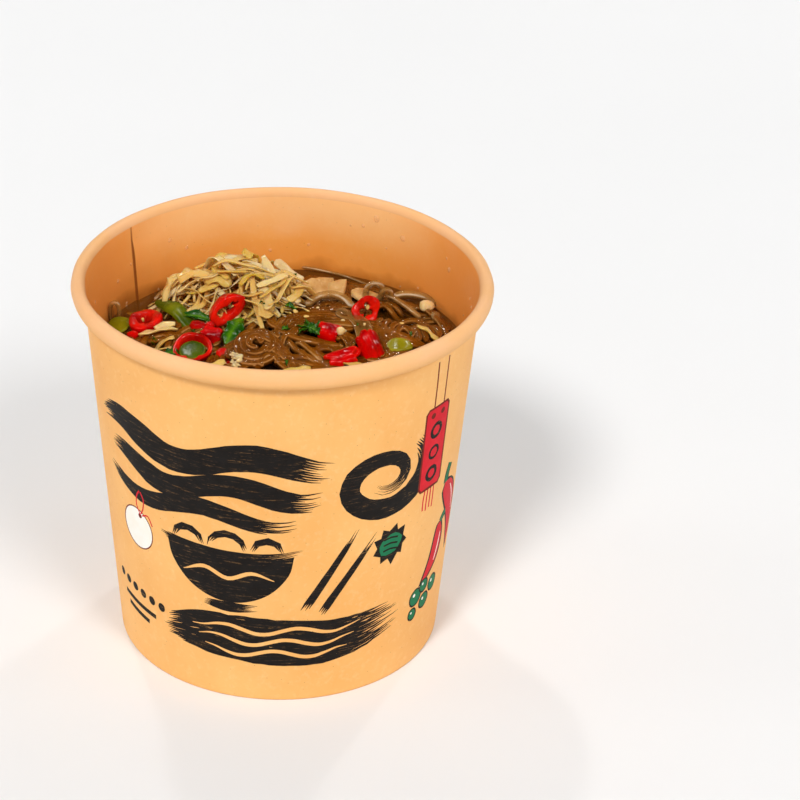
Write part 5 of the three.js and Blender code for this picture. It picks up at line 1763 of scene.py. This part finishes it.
for k in range(4):
    a, r = rng.uniform(0, 6.28), 40 * math.sqrt(rng.random())
    x, y = r * math.cos(a), r * math.sin(a)
    if -34 < x < 2 and -16 < y < 12:
        continue
    seed_at(on(x, y, 0.3), (rng.uniform(-30, 30), rng.uniform(-30, 30), rng.uniform(0, 360)), 0.95)
seed_obj = seeds_bag.build("chili_seeds", [mat_seed])
pieces.append(seed_obj)


# ------------------------------------------------------------------ broth
def build_broth():
    n = 240
    st = np.arange(n) * 360.0 / n
    into = 0.28
    lapi = LAP_STEP * inner_lap(st)
    prof = [(0.01, 9.0), (30, 9.0), (None, 9.0), (None, 30.0), (None, 60.0), (None, 85.0), (None, BROTH_Z + 0.85)]
    V = []
    for r, z in prof:
        rr = np.full(n, r) if r is not None else wall_in(z) + into - lapi
        V.append(ring_point(st, rr, np.full(n, z)))
    # the meniscus falls from the wall to the level
    for d, dz in ((0.45, 0.78), (0.9, 0.42), (1.5, 0.2), (2.3, 0.07), (3.4, 0.0)):
        rr = wall_in(BROTH_Z) - lapi - d + 0.1
        V.append(ring_point(st, rr, np.full(n, BROTH_Z + dz)))
    for r in (46, 40, 33, 26, 18, 10, 4, 0.01):
        a = np.radians(st)
        z = BROTH_Z + 0.05 * np.sin(3 * a + r / 4)
        V.append(ring_point(st, np.full(n, r), z))
    m = len(V)
    V = np.concatenate(V)
    F = [(j * n + i, j * n + (i + 1) % n, (j + 1) * n + (i + 1) % n, (j + 1) * n + i) for j in range(m - 1) for i in range(n)]
    o = make("broth_body", V, F, [mat_broth])
    import bmesh

    bm = bmesh.new()
    bm.from_mesh(o.data)
    bmesh.ops.remove_doubles(bm, verts=bm.verts, dist=3e-5)
    bmesh.ops.recalc_face_normals(bm, faces=bm.faces)
    bm.to_mesh(o.data)
    bm.free()
    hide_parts("broth")
    return o


pieces.append(build_broth())

oil, drops = Bag(), Bag()
rng = np.random.default_rng(314)
bv, bf = small_ball(2)
for k in range(150):
    a = rng.uniform(0, 2 * math.pi)
    e = float(noodle_edge(a))
    x, y = math.sin(a), -math.cos(a)
    r = rng.uniform(e - 2.0, wall_in(86) - 1.6)
    s = rng.uniform(0.25, 1.2) ** 1.2
    if top_at(x * r, y * r) > BROTH_Z + 0.1:
        continue
    oil.add(place(bv * np.array([s, s * rng.uniform(0.8, 1), 0.13]), (x * r, y * r, BROTH_Z + 0.03), (0, 0, rng.uniform(0, 180))), bf)
oil_obj = oil.build("oil_drops", [mat_oil])
pieces.append(oil_obj)


def wall_drop(deg, z, s, tall=1.15):
    a = math.radians(deg)
    r = wall_in(z) - LAP_STEP * float(inner_lap(np.array([deg % 360.0]))[0])
    v = bv * np.array([s, 0.42 * s, s * tall])
    v[:, 0] *= 1 + 0.12 * np.sin(2 * bv[:, 2] + deg)
    drops.add(place(v, (r * math.sin(a), -r * math.cos(a), z), (0, 0, deg)), bf)


for k in range(24):
    wall_drop(rng.uniform(0, 360), rng.uniform(88, 105), rng.uniform(0.3, 0.6))
for deg, z, s in ((-142, 101, 0.7), (-148, 97, 0.6), (150, 106.5, 1.1), (140, 103, 0.9), (118, 101, 0.8), (98, 98, 0.6), (-118, 96, 0.6), (-96, 92, 0.7), (172, 95, 0.5), (-104, 90, 0.6)):
    wall_drop(deg, z, s)
for k in range(26):  # beads along the meniscus
    deg = rng.uniform(0, 360)
    wall_drop(deg, rng.uniform(86.9, 88.0), rng.uniform(0.25, 0.5), 0.9)
drop_obj = drops.build("wall_drops", [mat_drop])
pieces.append(drop_obj)

for o in pieces:
    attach(o, "root")

# ------------------------------------------------------------------ floor
floor = make("floor", [(-4000, -4000, 0), (4000, -4000, 0), (4000, 4000, 0), (-4000, 4000, 0)], [(0, 1, 2, 3)], [floor_material()], smooth=False)
